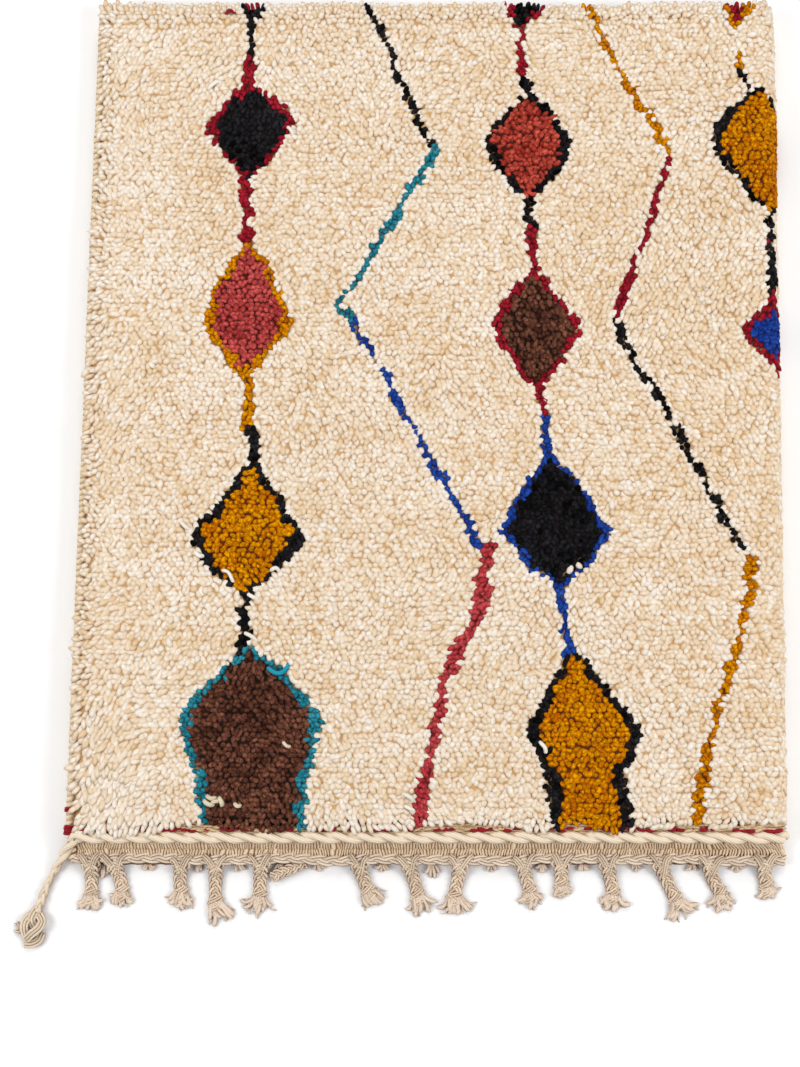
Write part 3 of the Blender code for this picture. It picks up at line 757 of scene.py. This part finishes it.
def spun_wool(name, pale, deep, twist=0.006, plies=2, streaks=0.14):
    """Spun wool, plies wound round each other: painted light on its top, painted shade on its sides
    and between plies, with a fuzz of fibres.
    """
    finish, shader, wool = new_finish(name)
    wind = wool.named("wind", "Vector")
    x, y, run = (wool.node("SeparateXYZ", {}, {0: wind}, axis) for axis in "XYZ")
    turn = wool.maths("ARCTAN2", y, x)
    # Ply ridges: bumped, and also painted paler on their crests and darker in the grooves as painted
    # shade
    ridge = wool.maths("SINE", turn * plies + run * (math.tau * plies / twist)) * 0.5 + 0.5
    # Painted light: each yarn's top, which faces the lamps, is pale, and its sides fall off into
    # painted shade
    crest = wool.maths("MAXIMUM", y, 0.0) ** 0.6
    fibres = wool.noise(0.0008, 3.0)
    painted_light_and_tone = crest * 1.1 + ridge * streaks + fibres * 0.2 + wool.named("tone") * 0.3 - 0.5
    feed(shader, {
        "Base Color": painted_light_and_tone.blend(shade(*deep), shade(*pale)),
        "Roughness": 0.75 + fibres * 0.2,
        "Normal": (ridge + fibres * 0.5).bump(0.5, 0.0006),
        "Specular IOR Level": 0.12,
        "Sheen Weight": 0.06,
        "Sheen Roughness": 0.5,
    })
    return finish


red_wefts, undyed_wefts = Skein(), Skein()

# Short floats between the pile and the cord
start = 0.004
while start < ROLL_END - 0.02:
    length = chance.uniform(*WEFT_LENGTHS)
    across = np.linspace(start, start + length, 7)
    arch = np.sin(np.linspace(0, math.pi, 7)) ** WEFT_ARCH
    place = WEFT_PLACE + np.linspace(*chance.uniform(-0.0012, 0.0030, 2), 7)
    path = lay(across, place, CLOTH + (WEFT_TOP - CLOTH) * arch * chance.uniform(0.8, 1.1))
    skein = red_wefts if chance.random() < RED_SHARE else undyed_wefts
    wide = WEFT_RADIUS * chance.uniform(0.7, 1.15)
    skein.add(path, wide, facing=outward(across), tone=chance.random())
    start += length * chance.uniform(0.6, 1.0)

# Wefts under the near rim of the pile, and more floats where the tufts are drawn back
for place in SUNK_WEFTS:
    across = evenly(0.003, ROLL_END, 0.009)
    wave = 0.0005 * ripple(across, 0 * across + place, 0.02, 42)
    path = lay(across, NEAR + place + wave, 0.0096 + wave)
    undyed_wefts.add(path, 0.0019, facing=outward(across), tone=chance.uniform(0.2, 0.6))
for middle, half in RECESSES:
    for place in RECESS_WEFTS:
        start = middle - half + chance.uniform(0, 0.004)
        while start < middle + half:
            across = np.linspace(start, start + chance.uniform(0.005, 0.010), 5)
            arch = np.sin(np.linspace(0, math.pi, 5)) ** WEFT_ARCH
            slant = np.linspace(*chance.uniform(-0.0012, 0.0012, 2), 5)
            path = lay(across, NEAR + place + slant, 0.0090 + 0.0030 * arch)
            undyed_wefts.add(path, 0.0017, facing=outward(across), tone=chance.random())
            start = across[-1] - 0.001

# The bare far edge, and the red wefts that go round the selvage
across = over_fold(0, 0.008, 8, 0.008)
for level, tone in FAR_WEFTS:
    wave = 0.0004 * ripple(across, 0 * across + 50 * level, 0.016, 43)
    path = lay(across, FAR + 0.0005 + wave, level + wave)
    undyed_wefts.add(path, 0.0011, facing=(0, 1, 0), sides=6, tone=tone)
for place in RED_WRAPS:
    turn = np.linspace(0, WRAP_TURNS * math.tau, 21)
    across = -SELVAGE_RADIUS - PARTING + WRAP_RADIUS * np.cos(turn)
    up = SELVAGE_RADIUS + WRAP_RADIUS * np.sin(turn)
    path = lay(across, place + 0.0026 * turn / math.tau, up)
    red_wefts.add(path, 0.0015, facing=path - path[:14].mean(axis=0), tone=0.7)
red_wefts.make("weft_ends_red", spun_wool("red_wool", (162, 27, 41), (80, 6, 14)), "band")
undyed_wool = spun_wool("undyed_wool", (226, 196, 156), (126, 88, 54))
undyed_wefts.make("weft_ends_undyed", undyed_wool, "band")

# ---- Loose ends ----
# Here and there a knot's end was left longer than the pile. It is the same soft yarn as the
# tufts, or an undyed one, and lies curled on top of them.
LOOSE_ENDS = {
    # yarn: its pale colour, painted lit, and its deep colour, painted shade, then each end's radius
    # and its places across and along
    "teal": ((36, 158, 184), (8, 88, 112), (
        (0.0026, ((0.2001, -0.2768), (0.2086, -0.2820), (0.2169, -0.2799), (0.2260, -0.2653))),
    )),
    "crimson": ((160, 32, 46), (88, 10, 20), (
        (0.0020, ((0.1330, 0.4400), (0.1376, 0.4462), (0.1440, 0.4452))),
    )),
    "brick": ((200, 74, 58), (120, 28, 20), (
        (0.0022, ((0.4690, 0.2380), (0.4745, 0.2350), (0.4790, 0.2385))),
    )),
    "white": ((248, 243, 234), (206, 188, 162), (
        (0.0022, ((0.1034, -0.1231), (0.1089, -0.1285), (0.1133, -0.1316))),
        (0.0024, ((0.1194, -0.1550), (0.1248, -0.1592), (0.1301, -0.1582))),
        (0.0020, ((0.1486, -0.1741), (0.1551, -0.1762), (0.1595, -0.1836), (0.1619, -0.1930))),
        (0.0022, ((0.1769, -0.1994), (0.1823, -0.2025), (0.1887, -0.2057))),
        (0.0022, ((0.1749, -0.2403), (0.1813, -0.2434), (0.1888, -0.2497))),
        (0.0022, ((0.2005, -0.1741), (0.2058, -0.1719), (0.2101, -0.1762))),
        (0.0024, ((0.3444, -0.4065), (0.3507, -0.4096), (0.3559, -0.4157))),
        (0.0022, ((0.3456, -0.4187), (0.3519, -0.4218), (0.3560, -0.4248))),
        (0.0022, ((0.4844, -0.3533), (0.4896, -0.3595), (0.4907, -0.3677))),
        (0.0020, ((0.2060, 0.3120), (0.2110, 0.3060), (0.2130, 0.2990))),
        (0.0024, ((0.1180, 0.3560), (0.1260, 0.3620), (0.1330, 0.3640))),
    )),
    "beige": ((228, 214, 188), (168, 146, 112), (
        (0.0026, ((0.1370, -0.4136), (0.1424, -0.4170), (0.1480, -0.4180))),
        (0.0026, ((0.1400, -0.4090), (0.1454, -0.4110), (0.1506, -0.4096))),
        (0.0026, ((0.1527, -0.4106), (0.1556, -0.4147), (0.1556, -0.4198))),
        (0.0024, ((0.1452, -0.4152), (0.1500, -0.4136), (0.1538, -0.4146))),
        (0.0024, ((0.1694, -0.4167), (0.1726, -0.4187), (0.1757, -0.4177))),
        (0.0020, ((0.2177, -0.3533), (0.2220, -0.3574), (0.2272, -0.3584))),
    )),
}


def curve_through(points, parts=4):
    """A smooth path through points, with this many parts to each span."""
    points = np.asarray(points, dtype=float)
    before, after = 2 * points[:1] - points[1:2], 2 * points[-1:] - points[-2:-1]
    points = np.concatenate((before, points, after))
    share = np.arange(parts)[:, None] / parts
    spans = []
    for a, b, c, d in zip(points, points[1:], points[2:], points[3:]):
        bend = (2 * a - 5 * b + 4 * c - d) * share**2
        turn = (3 * b - a - 3 * c + d) * share**3
        spans.append(b + ((c - a) * share + bend + turn) / 2)
    return np.concatenate((*spans, points[-2:-1]))


for name, (pale, deep, ends) in LOOSE_ENDS.items():
    skein = Skein()
    for wide, places in ends:
        across, along = curve_through(places, 4).T
        share = np.linspace(0, 1, len(across))
        up = ROOT_LEVEL + pile_height(across, along, 0 * across) + 0.0016
        up = up - 0.004 * (1 - np.sin(math.pi * np.clip(share * 1.25, 0, 1))) ** 2
        plump = wide * np.sqrt(1 - 0.6 * np.clip(share * 6 - 5, 0, 1))
        skein.add(lay(across, along, up), plump, sides=7, tone=chance.random())
    finish = spun_wool("loose_wool_" + name, pale, deep, 0.050, 5, 0.3)
    skein.make("loose_ends_" + name, finish, "pile")

# ---- Selvages ----
# Each side edge is a core of warps, wrapped round and round with a thick undyed yarn, so that
# its loops lie side by side like beads.
SELVAGE_PITCH = 0.0062
SELVAGE_COIL = 0.0037
SELVAGE_YARN = 0.0010
SELVAGE_END = 0.0015


def wrap_selvage(name, centre):
    """A side edge: the core, and the yarn that winds round it."""
    skein = Skein()
    along = evenly(FAR, NEAR + SELVAGE_END, SELVAGE_PITCH / 10)
    turn = math.tau * (FAR - along) / SELVAGE_PITCH
    coil = SELVAGE_COIL * (1 + 0.10 * ripple(0 * along + centre, along, 0.006, 41))
    offset_x, offset_z = coil * np.cos(turn), coil * np.sin(turn)
    path = lay(centre + offset_x, along, SELVAGE_RADIUS + offset_z)
    rim = lay(centre + 2 * offset_x, along, SELVAGE_RADIUS + 2 * offset_z)
    skein.add(path, SELVAGE_PITCH * 0.46, SELVAGE_YARN, facing=rim - path, tone=0.6)
    along = evenly(FAR, NEAR + SELVAGE_END, 0.009)
    skein.add(lay(centre, along, SELVAGE_RADIUS), SELVAGE_COIL, sides=6, tone=0.0)
    selvage = skein.make(name + "_wrapping", selvage_wool, "selvage")
    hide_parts(name)


selvage_wool = spun_wool("selvage_wool", (238, 220, 190), (196, 164, 122), 0.009)
wrap_selvage("selvage_top", -SELVAGE_RADIUS - PARTING)
wrap_selvage("selvage_under", OPEN_WIDTH + SELVAGE_RADIUS + PARTING)

# ---- Kilim band ----
# The flat-woven end of the rug: undyed wefts beaten over pairs of warps, so that the warps
# stand out as short upright ribs, in close rows. Its left edge is wrapped like the selvages.
BAND_THICKNESS = 0.0035
RIB_RADIUS = 0.0016
RIB_ROWS = ((-0.12, 0.30), (0.27, 0.62), (0.59, 1.0))
BAND_TOP = BAND_BACK + BAND_THICKNESS
FLOAT_SHARE = 0.03
EDGE_CORE = -0.0042
EDGE_LEVEL = 0.0034

band_weave, shader, wool = new_finish("band_weave")
fibres = wool.noise(0.0012, 3.0)
feed(shader, {
    "Base Color": fibres.blend(shade(122, 84, 48), shade(188, 146, 100)),
    "Roughness": 0.85 + fibres * 0.1,
    "Normal": fibres.bump(0.5, 0.001),
    "Specular IOR Level": 0.1,
})
band_wool = spun_wool("band_wool", (252, 228, 196), (132, 88, 48), 0.005)
near_edge = NEAR - PARTING - BAND_DEPTH
columns = over_fold(0, 0.0135, 8, 0.03)
points, faces = slab(columns, evenly(near_edge, NEAR - PARTING, 0.004), BAND_BACK, BAND_TOP)
band_cloth = make_piece("band_cloth", points, faces, band_weave)
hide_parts("kilim_band")

ribs = Skein()
for row, ends in enumerate(RIB_ROWS):
    ends = near_edge + (BAND_DEPTH - 0.0040) * np.array(ends)
    across = 0.001
    while across < ROLL_END:
        is_float = chance.random() < FLOAT_SHARE
        wide = RIB_RADIUS * (chance.uniform(1.5, 2.1) if is_float else chance.uniform(0.62, 1.10))
        along = np.linspace(*(ends + chance.uniform(-0.0007, 0.0007, 2)), 6)
        share = np.linspace(0, 1, 6)
        crest = np.sin(math.pi * share) ** 0.6
        slope = 0.0040 * ripple(np.array(across), np.array(0.3 * row), 0.011, 52)
        place = across + wide + (slope + chance.uniform(-0.0005, 0.0005)) * (share - 0.5)
        up = BAND_TOP - 0.0010 + 0.0011 * crest * chance.uniform(0.6, 1.2)
        tone = chance.uniform(0.0, 0.9) + 0.3 * (row == 0) + 0.2 * is_float
        path = lay(place, along, up)
        swell = wide * (0.75 + 0.25 * crest)
        ribs.add(path, swell, RIB_RADIUS * 0.75, facing=outward(place), tone=tone)
        across += 2 * wide * 1.06
along = evenly(NEAR - 0.007, near_edge - 0.004, 0.0006)
turn = math.tau * (NEAR - along) / SELVAGE_PITCH
core = lay(EDGE_CORE, along, EDGE_LEVEL)
path = lay(EDGE_CORE + 0.0034 * np.cos(turn), along, EDGE_LEVEL + 0.0026 * np.sin(turn))
ribs.add(path, 0.0026, 0.0012, facing=path - core, sides=6, tone=0.7)
ribs.make("band_ribs", band_wool, "band")

# ---- Twined cord ----
# Two thick strands of soft white yarn, twined over the line where pile and band meet. Past
# the near left corner they run on as a plaited tail, which ends in a knot.
CORD_RADIUS = 0.0052
CORD_PITCH = 0.049
CORD_LEVEL = BAND_TOP + PARTING + CORD_RADIUS
CORD_LINE = NEAR - PARTING - CORD_RADIUS
CORD_TAIL = (
    # x, y, height, width
    (-0.3680, -0.4640, 0.0210, 0.90),
    (-0.3790, -0.4790, 0.0110, 0.80),
    (-0.3885, -0.4940, 0.0045, 0.66),
    (-0.3960, -0.5090, 0.0040, 0.90),
    (-0.4010, -0.5230, 0.0040, 1.00),
    (-0.4050, -0.5370, 0.0045, 1.00),
)
TWINED_TAIL_POINTS = 3
STRAND_OFFSET = 0.0028
STRAND_RADIUS = 0.0041
YARN_STEP = 1.8
TAIL_HALF = 0.0046
TAIL_PITCH = 0.034
TAIL_YARN = 0.0023
TURN_YARN = 0.0017
KNOT_STUB = (-0.4205, -0.5543)
KNOT_TURNS = (
    # x, y and height along the turn
    ((-0.4000, -0.5590, 0.003), (-0.4025, -0.5660, 0.004), (-0.4095, -0.5700, 0.004),
     (-0.4175, -0.5705, 0.003)),
    ((-0.4039, -0.5324, 0.004), (-0.4087, -0.5388, 0.005), (-0.4108, -0.5460, 0.005),
     (-0.4070, -0.5540, 0.003)),
    ((-0.4100, -0.5395, 0.003), (-0.4163, -0.5455, 0.006), (-0.4180, -0.5530, 0.007),
     (-0.4160, -0.5620, 0.005), (-0.4135, -0.5675, 0.003)),
    ((-0.4040, -0.5390, 0.004), (-0.3990, -0.5460, 0.008), (-0.4015, -0.5530, 0.010),
     (-0.4085, -0.5590, 0.010), (-0.4155, -0.5655, 0.005)),
)


def twine(skein, path, facing, turn, width, sides):
    """Two soft fat strands wound round each other along a path."""
    aside, rise = headings(path, facing)[1:]
    for strand in (0, math.pi):
        offset = rise * (STRAND_OFFSET * np.sin(turn + strand) * width)[:, None]
        offset = offset - aside * (STRAND_OFFSET * np.cos(turn + strand) * width)[:, None]
        plump = STRAND_RADIUS * width * (1 + 0.06 * ripple(turn, 0 * turn + strand, 0.9, 61))
        skein.add(path + offset, plump, facing=facing, sides=sides, tone=0.5)


def plait(skein, path, facing, width, height, pitch, yarns, yarn_radius, sides=5, phase=0.0):
    """Three flat strands of side-by-side yarns, plaited along a path."""
    aside, rise = headings(path, facing)[1:]
    run = distances(path)
    strand_half = (yarns - 1) / 2 * YARN_STEP * yarn_radius + yarn_radius
    sway = np.maximum(width - strand_half, 0.001)
    for strand in range(3):
        turn = math.tau * (run / pitch + strand / 3) + phase
        middle = path + aside * (sway * np.sin(turn))[:, None]
        middle = middle + rise * (height * np.sin(2 * turn))[:, None]
        across_strand = unit(np.cross(rise, np.gradient(middle, axis=0)))
        for yarn_index in range(yarns):
            place = yarn_index - (yarns - 1) / 2
            crown = -0.25 * yarn_radius * place**2
            centre = middle + across_strand * YARN_STEP * yarn_radius * place + rise * crown
            tone = chance.random()
            skein.add(centre, yarn_radius, facing=facing, sides=sides, tone=tone)


def ribbon(skein, points, yarns, yarn_radius):
    """Yarns side by side along a curve, the middle ones highest."""
    path = curve_through(points, 5)
    aside, rise = headings(path, (0, 0, 1))[1:]
    for yarn_index in range(yarns):
        place = yarn_index - (yarns - 1) / 2
        crown = 0.2 * yarn_radius * place**2
        centre = path + aside * (YARN_STEP * yarn_radius * place) - rise * crown
        skein.add(centre, yarn_radius, tone=chance.random())


def fray(skein, start, heading, length, spread, yarns, yarn_radius):
    """Loose yarn ends that fan out and curl on the surface."""
    start, heading = np.asarray(start, dtype=float), unit(np.asarray(heading, dtype=float))
    right = np.cross((0, 0, 1), heading)
    share = np.linspace(0, 1, 10)
    for place in np.linspace(-1, 1, yarns):
        place = place + chance.uniform(-0.5, 0.5) / yarns
        reach = length * chance.uniform(0.75, 1.15) * (1 - 0.2 * abs(place))
        curl = 0.5 * place + chance.uniform(-1.5, 1.5)
        angle = 0.40 * place + curl * share**1.8
        steps = heading * np.cos(angle)[:, None] + right * np.sin(angle)[:, None]
        steps[0] = 0
        path = start + right * (0.5 * place * spread) + np.cumsum(steps, axis=0) * reach / 9
        lift = chance.uniform(0.0, 0.0035)
        path[:, 2] = start[2] * (1 - share) ** 1.5 + lift * np.sin(share * math.pi * 0.8)
        tip = np.sqrt(1 - 0.6 * np.clip(share * 5 - 4, 0, 1) ** 2)
        swell = yarn_radius * (0.65 + 0.50 * share**0.7) * tip
        skein.add(path, swell * chance.uniform(0.85, 1.15), sides=6, tone=chance.random())


cord_wool = spun_wool("cord_wool", (243, 226, 201), (146, 98, 56), 0.090, 9, 0.4)
cord = Skein()
cord_across = over_fold(0.002, 0.0024, 12)
top_path = lay(cord_across, CORD_LINE, CORD_LEVEL)
tail = curve_through((*CORD_TAIL[TWINED_TAIL_POINTS - 1::-1], (*top_path[0], 1.0)), 8)[:-1]
path = np.concatenate((tail[:, :3], top_path))
facing = np.concatenate((np.tile((0.0, 0.0, 1.0), (len(tail), 1)), outward(cord_across)))
width = np.concatenate((tail[:, 3], np.ones(len(top_path))))
turn = math.tau * distances(path) / CORD_PITCH
twine(cord, path, facing, turn, width, 12)
across = evenly(ROLL_END, OPEN_WIDTH, 0.008)
path = lay(across, CORD_LINE, CORD_LEVEL)
turn = turn[-1] + math.tau * (across - ROLL_END) / CORD_PITCH
twine(cord, path, outward(across), turn, np.ones(len(path)), 8)
tail = curve_through(CORD_TAIL[TWINED_TAIL_POINTS - 2:], 10)
tail_half = TAIL_HALF * tail[:, 3]
plait(cord, tail[:, :3], (0, 0, 1), tail_half, 0.0016, TAIL_PITCH, 1, TAIL_YARN, 8, 1.0)
for points in KNOT_TURNS:
    ribbon(cord, points, 3, TURN_YARN)
fray(cord, (*KNOT_STUB, 0.0035), (-1, -0.12, 0), 0.010, 0.0050, 8, 0.0011)
twined_cord = cord.make("cord_and_tail", cord_wool, "cord")
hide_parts("twined_cord")

# ---- Plaited warp edge ----
# Past the band the warp ends are plaited sideways into a flat edge, which lies half on the
# surface and wraps round the fold with the rest.
PLAIT_WIDTH = 0.011
PLAIT_OVERHANG = 0.006
PLAIT_BACK = near_edge - PARTING
PLAIT_LINE = PLAIT_BACK - PLAIT_WIDTH / 2
PLAIT_PITCH = 0.046
PLAIT_HALF = 0.0060

warp_wool = spun_wool("warp_wool", (247, 226, 200), (110, 62, 24), 0.005)
edge_wool = spun_wool("edge_wool", (254, 238, 217), (136, 88, 48), 0.005)
edge = Skein()
across = evenly(-PLAIT_OVERHANG, ROLL_END + 0.010, 0.0024)
wander = 0.0020 * ripple(across, 0 * across, 0.045, 51)
path = lay(across, PLAIT_LINE + 0.0006 + wander, PLAIT_THICKNESS / 2 + 0.0006)
plait(edge, path, outward(across), PLAIT_HALF, 0.0016, PLAIT_PITCH, 2, 0.0017)
across = evenly(ROLL_END, OPEN_WIDTH, 0.005)
path = lay(across, PLAIT_LINE, PLAIT_THICKNESS / 2)
plait(edge, path, outward(across), PLAIT_HALF, 0.0011, PLAIT_PITCH, 3, 0.0013, 4)
plaited_edge = edge.make("plaited_edge", edge_wool, "warp_ends")
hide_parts("fringe")

# ---- Tassels ----
# Each tassel is a bundle of warp ends drawn out of the plaited edge, plaited flat, knotted,
# and left to fray. They lie on the surface. The lower layer has short ones, without a plait.
UPPER_TASSELS = (
    # across, drift, reach, brush
    (0.0147, -0.002, 0.050, 0.026),
    (0.0397, 0.007, 0.044, 0.024),
    (0.1107, 0.007, 0.046, 0.030),
    (0.1467, 0.001, 0.062, 0.026),
    (0.1947, -0.002, 0.052, 0.028),
    (0.2977, 0.018, 0.045, 0.030),
    (0.3497, 0.011, 0.052, 0.024),
    (0.4037, -0.012, 0.054, 0.032),
    (0.4687, 0.012, 0.045, 0.026),
    (0.5087, 0.001, 0.034, 0.022),
    (0.5567, 0.006, 0.049, 0.026),
    (0.6117, 0.028, 0.058, 0.030),
    (0.6568, 0.027, 0.048, 0.028),
    (0.7056, 0.006, 0.036, 0.022),
)
LOWER_TASSELS = (
    # from the fold, reach
    (0.040, 0.008), (0.080, 0.008), (0.135, 0.008), (0.189, 0.008), (0.233, 0.008),
    (0.285, 0.008), (0.348, 0.014), (0.399, 0.008), (0.467, 0.007), (0.507, 0.013),
    (0.551, 0.008), (0.593, 0.008), (0.647, 0.008), (0.694, 0.014),
)
LOWER_PLAIT = ((-0.1231, -0.4806, 0.006), (-0.1397, -0.4881, 0.006), (-0.1586, -0.4968, 0.005))
TASSEL_HALF = 0.0086
TASSEL_FALL = 0.014
TASSEL_LEVEL = 0.0028
TASSEL_KNOT = 0.60
TASSEL_PITCH = 0.0210
TASSEL_YARN = 0.0017
KNOT_LEVEL = 0.0046
KNOT_HALF = 0.0064
KNOT_YARN = 0.0014
BRUSH_LAYERS = (
    # rise, longer, narrower, yarns, yarn radius
    (0.0, 1.05, 2.4, 7, 0.0022),
    (0.0024, 0.85, 3.4, 5, 0.0020),
    (0.0, 1.12, 2.0, 6, 0.0007),
)
KNOT_BAND = (
    # aside, forth, up
    (-1.05, -0.60, -0.0034),
    (-0.80, -0.40, -0.0004),
    (0.00, 0.00, 0.0018),
    (0.75, 0.30, -0.0002),
    (1.00, 0.36, -0.0034),
)


def tie_knot(skein, centre, heading, half, yarn_radius):
    """The knot in a plait's end: bands of yarns that cross over it, one after the other."""
    centre, heading = np.asarray(centre, dtype=float), unit(np.asarray(heading, dtype=float))
    right = np.cross((0, 0, 1), heading)
    for side, run in ((-1, -0.35), (1, 0.30), (-1, 0.75)):
        points = []
        for aside, forth, up in KNOT_BAND:
            place = centre + right * (side * aside * half) + heading * ((run + forth) * half)
            points.append(place + (0, 0, up))
        ribbon(skein, points, 3, yarn_radius)


plaits, brushes = Skein(), Skein()
for across, drift, reach, brush in UPPER_TASSELS:
    top = lay(across, PLAIT_LINE, PLAIT_THICKNESS * 0.7)
    span = np.array((drift, -reach, 0.0))
    heading = unit(span)
    start = lay(across, PLAIT_BACK - PLAIT_WIDTH, PLAIT_THICKNESS * 0.5)
    share = evenly(0, TASSEL_KNOT, 0.0018 / reach)
    path = start + span * share[:, None]
    fall = smooth(share * reach / TASSEL_FALL)
    bend = 0.10 * reach * chance.uniform(-1, 1)
    path[:, 0] += bend * np.sin(math.pi * share)
    path[:, 2] = start[2] + (TASSEL_LEVEL - start[2]) * fall
    path = np.concatenate((np.linspace(top, path[0], 4)[:-1], path))
    run = distances(path)
    wide = TASSEL_HALF * (1 + 0.5 * within(run, 0.012))
    wide = wide * (1 - 0.14 * smooth((run - 0.012) / 0.02))
    phase = chance.uniform(0, math.tau)
    plait(plaits, path, (0, 0, 1), wide, 0.0018, TASSEL_PITCH, 2, TASSEL_YARN, phase=phase)
    knot = path[-1] + heading * 0.0015
    knot[2] = KNOT_LEVEL
    tie_knot(plaits, knot, heading, KNOT_HALF, KNOT_YARN)
    length = reach * (1 - TASSEL_KNOT) - 0.002
    swing = chance.uniform(-0.45, 0.45)
    loose = heading * math.cos(swing) + np.cross((0, 0, 1), heading) * math.sin(swing)
    for rise, longer, narrower, yarns, yarn_radius in BRUSH_LAYERS:
        layer_start = knot + (0, 0, rise)
        fray(brushes, layer_start, loose, length * longer, brush / narrower, yarns, yarn_radius)
    for side in (-1, 1):
        span_out = side * chance.uniform(0.0085, 0.0130)
        climb = chance.uniform(-0.0040, 0.0010)
        high_end = lay(across + span_out, PLAIT_BACK + climb, PLAIT_THICKNESS + 0.0004)
        middle_line = PLAIT_LINE + climb * 0.5
        middle = lay(across + span_out * 0.55, middle_line, PLAIT_THICKNESS + 0.0016)
        low_end = path[9] + (-side * 0.0016, 0, 0.0016 + 0.0006 * side)
        ribbon(plaits, (high_end, middle, low_end), 2 if chance.random() < 0.5 else 3, 0.0013)
for from_fold, reach in LOWER_TASSELS:
    start = lay(ROLL_END + from_fold, PLAIT_BACK - PLAIT_WIDTH, PLAIT_THICKNESS / 2)
    fray(brushes, start, (chance.uniform(-0.2, 0.2), -1, 0), reach, 0.0050, 4, 0.0019)
path = curve_through(LOWER_PLAIT, 8)
plait(plaits, path, (0, 0, 1), 0.0068, 0.0016, TASSEL_PITCH, 2, 0.0015)
plaits.make("tassel_plaits", warp_wool, "warp_ends")
end_wool = spun_wool("loose_end_wool", (240, 220, 199), (134, 86, 48), 0.050, 7, 0.5)
brushes.make("tassel_ends", end_wool, "warp_ends")

# ---- Setting ----
# A plain white floor in soft, even light, from both sides, from beyond the far end and from
# all round, so that the shadows stay faint.
floor_finish, shader, paint = new_finish("floor_paint")
white = (0.93 + paint.noise(0.4) * 0.02).blend((0.9, 0.9, 0.9, 1), (1, 1, 1, 1))
feed(shader, {"Base Color": white, "Roughness": 0.9})
bpy.ops.mesh.primitive_plane_add(size=8)
floor = bpy.context.active_object
floor.name = "floor"
floor.data.materials.append(floor_finish)

for name, place, size, power in (
    ("left_light", (-1.9, -0.5, 1.7), 1.2, 28),
    ("right_light", (1.9, -0.5, 1.7), 1.2, 29),
    ("far_light", (0.0, 2.0, 2.0), 1.4, 27),
):
    lamp_data = bpy.data.lights.new(name, "AREA")
    lamp_data.size = size
    lamp_data.energy = power
    lamp = bpy.data.objects.new(name, lamp_data)
    lamp.location = place
    aim = -lamp.location
    lamp.rotation_euler = aim.to_track_quat("-Z", "Y").to_euler()
    bpy.context.scene.collection.objects.link(lamp)

world = bpy.data.worlds.new("studio")
world.use_nodes = True
world.node_tree.nodes["Background"].inputs["Color"].default_value = (1, 1, 1, 1)
world.node_tree.nodes["Background"].inputs["Strength"].default_value = 0.38
bpy.context.scene.world = world
bpy.context.scene.view_settings.view_transform = "Standard"
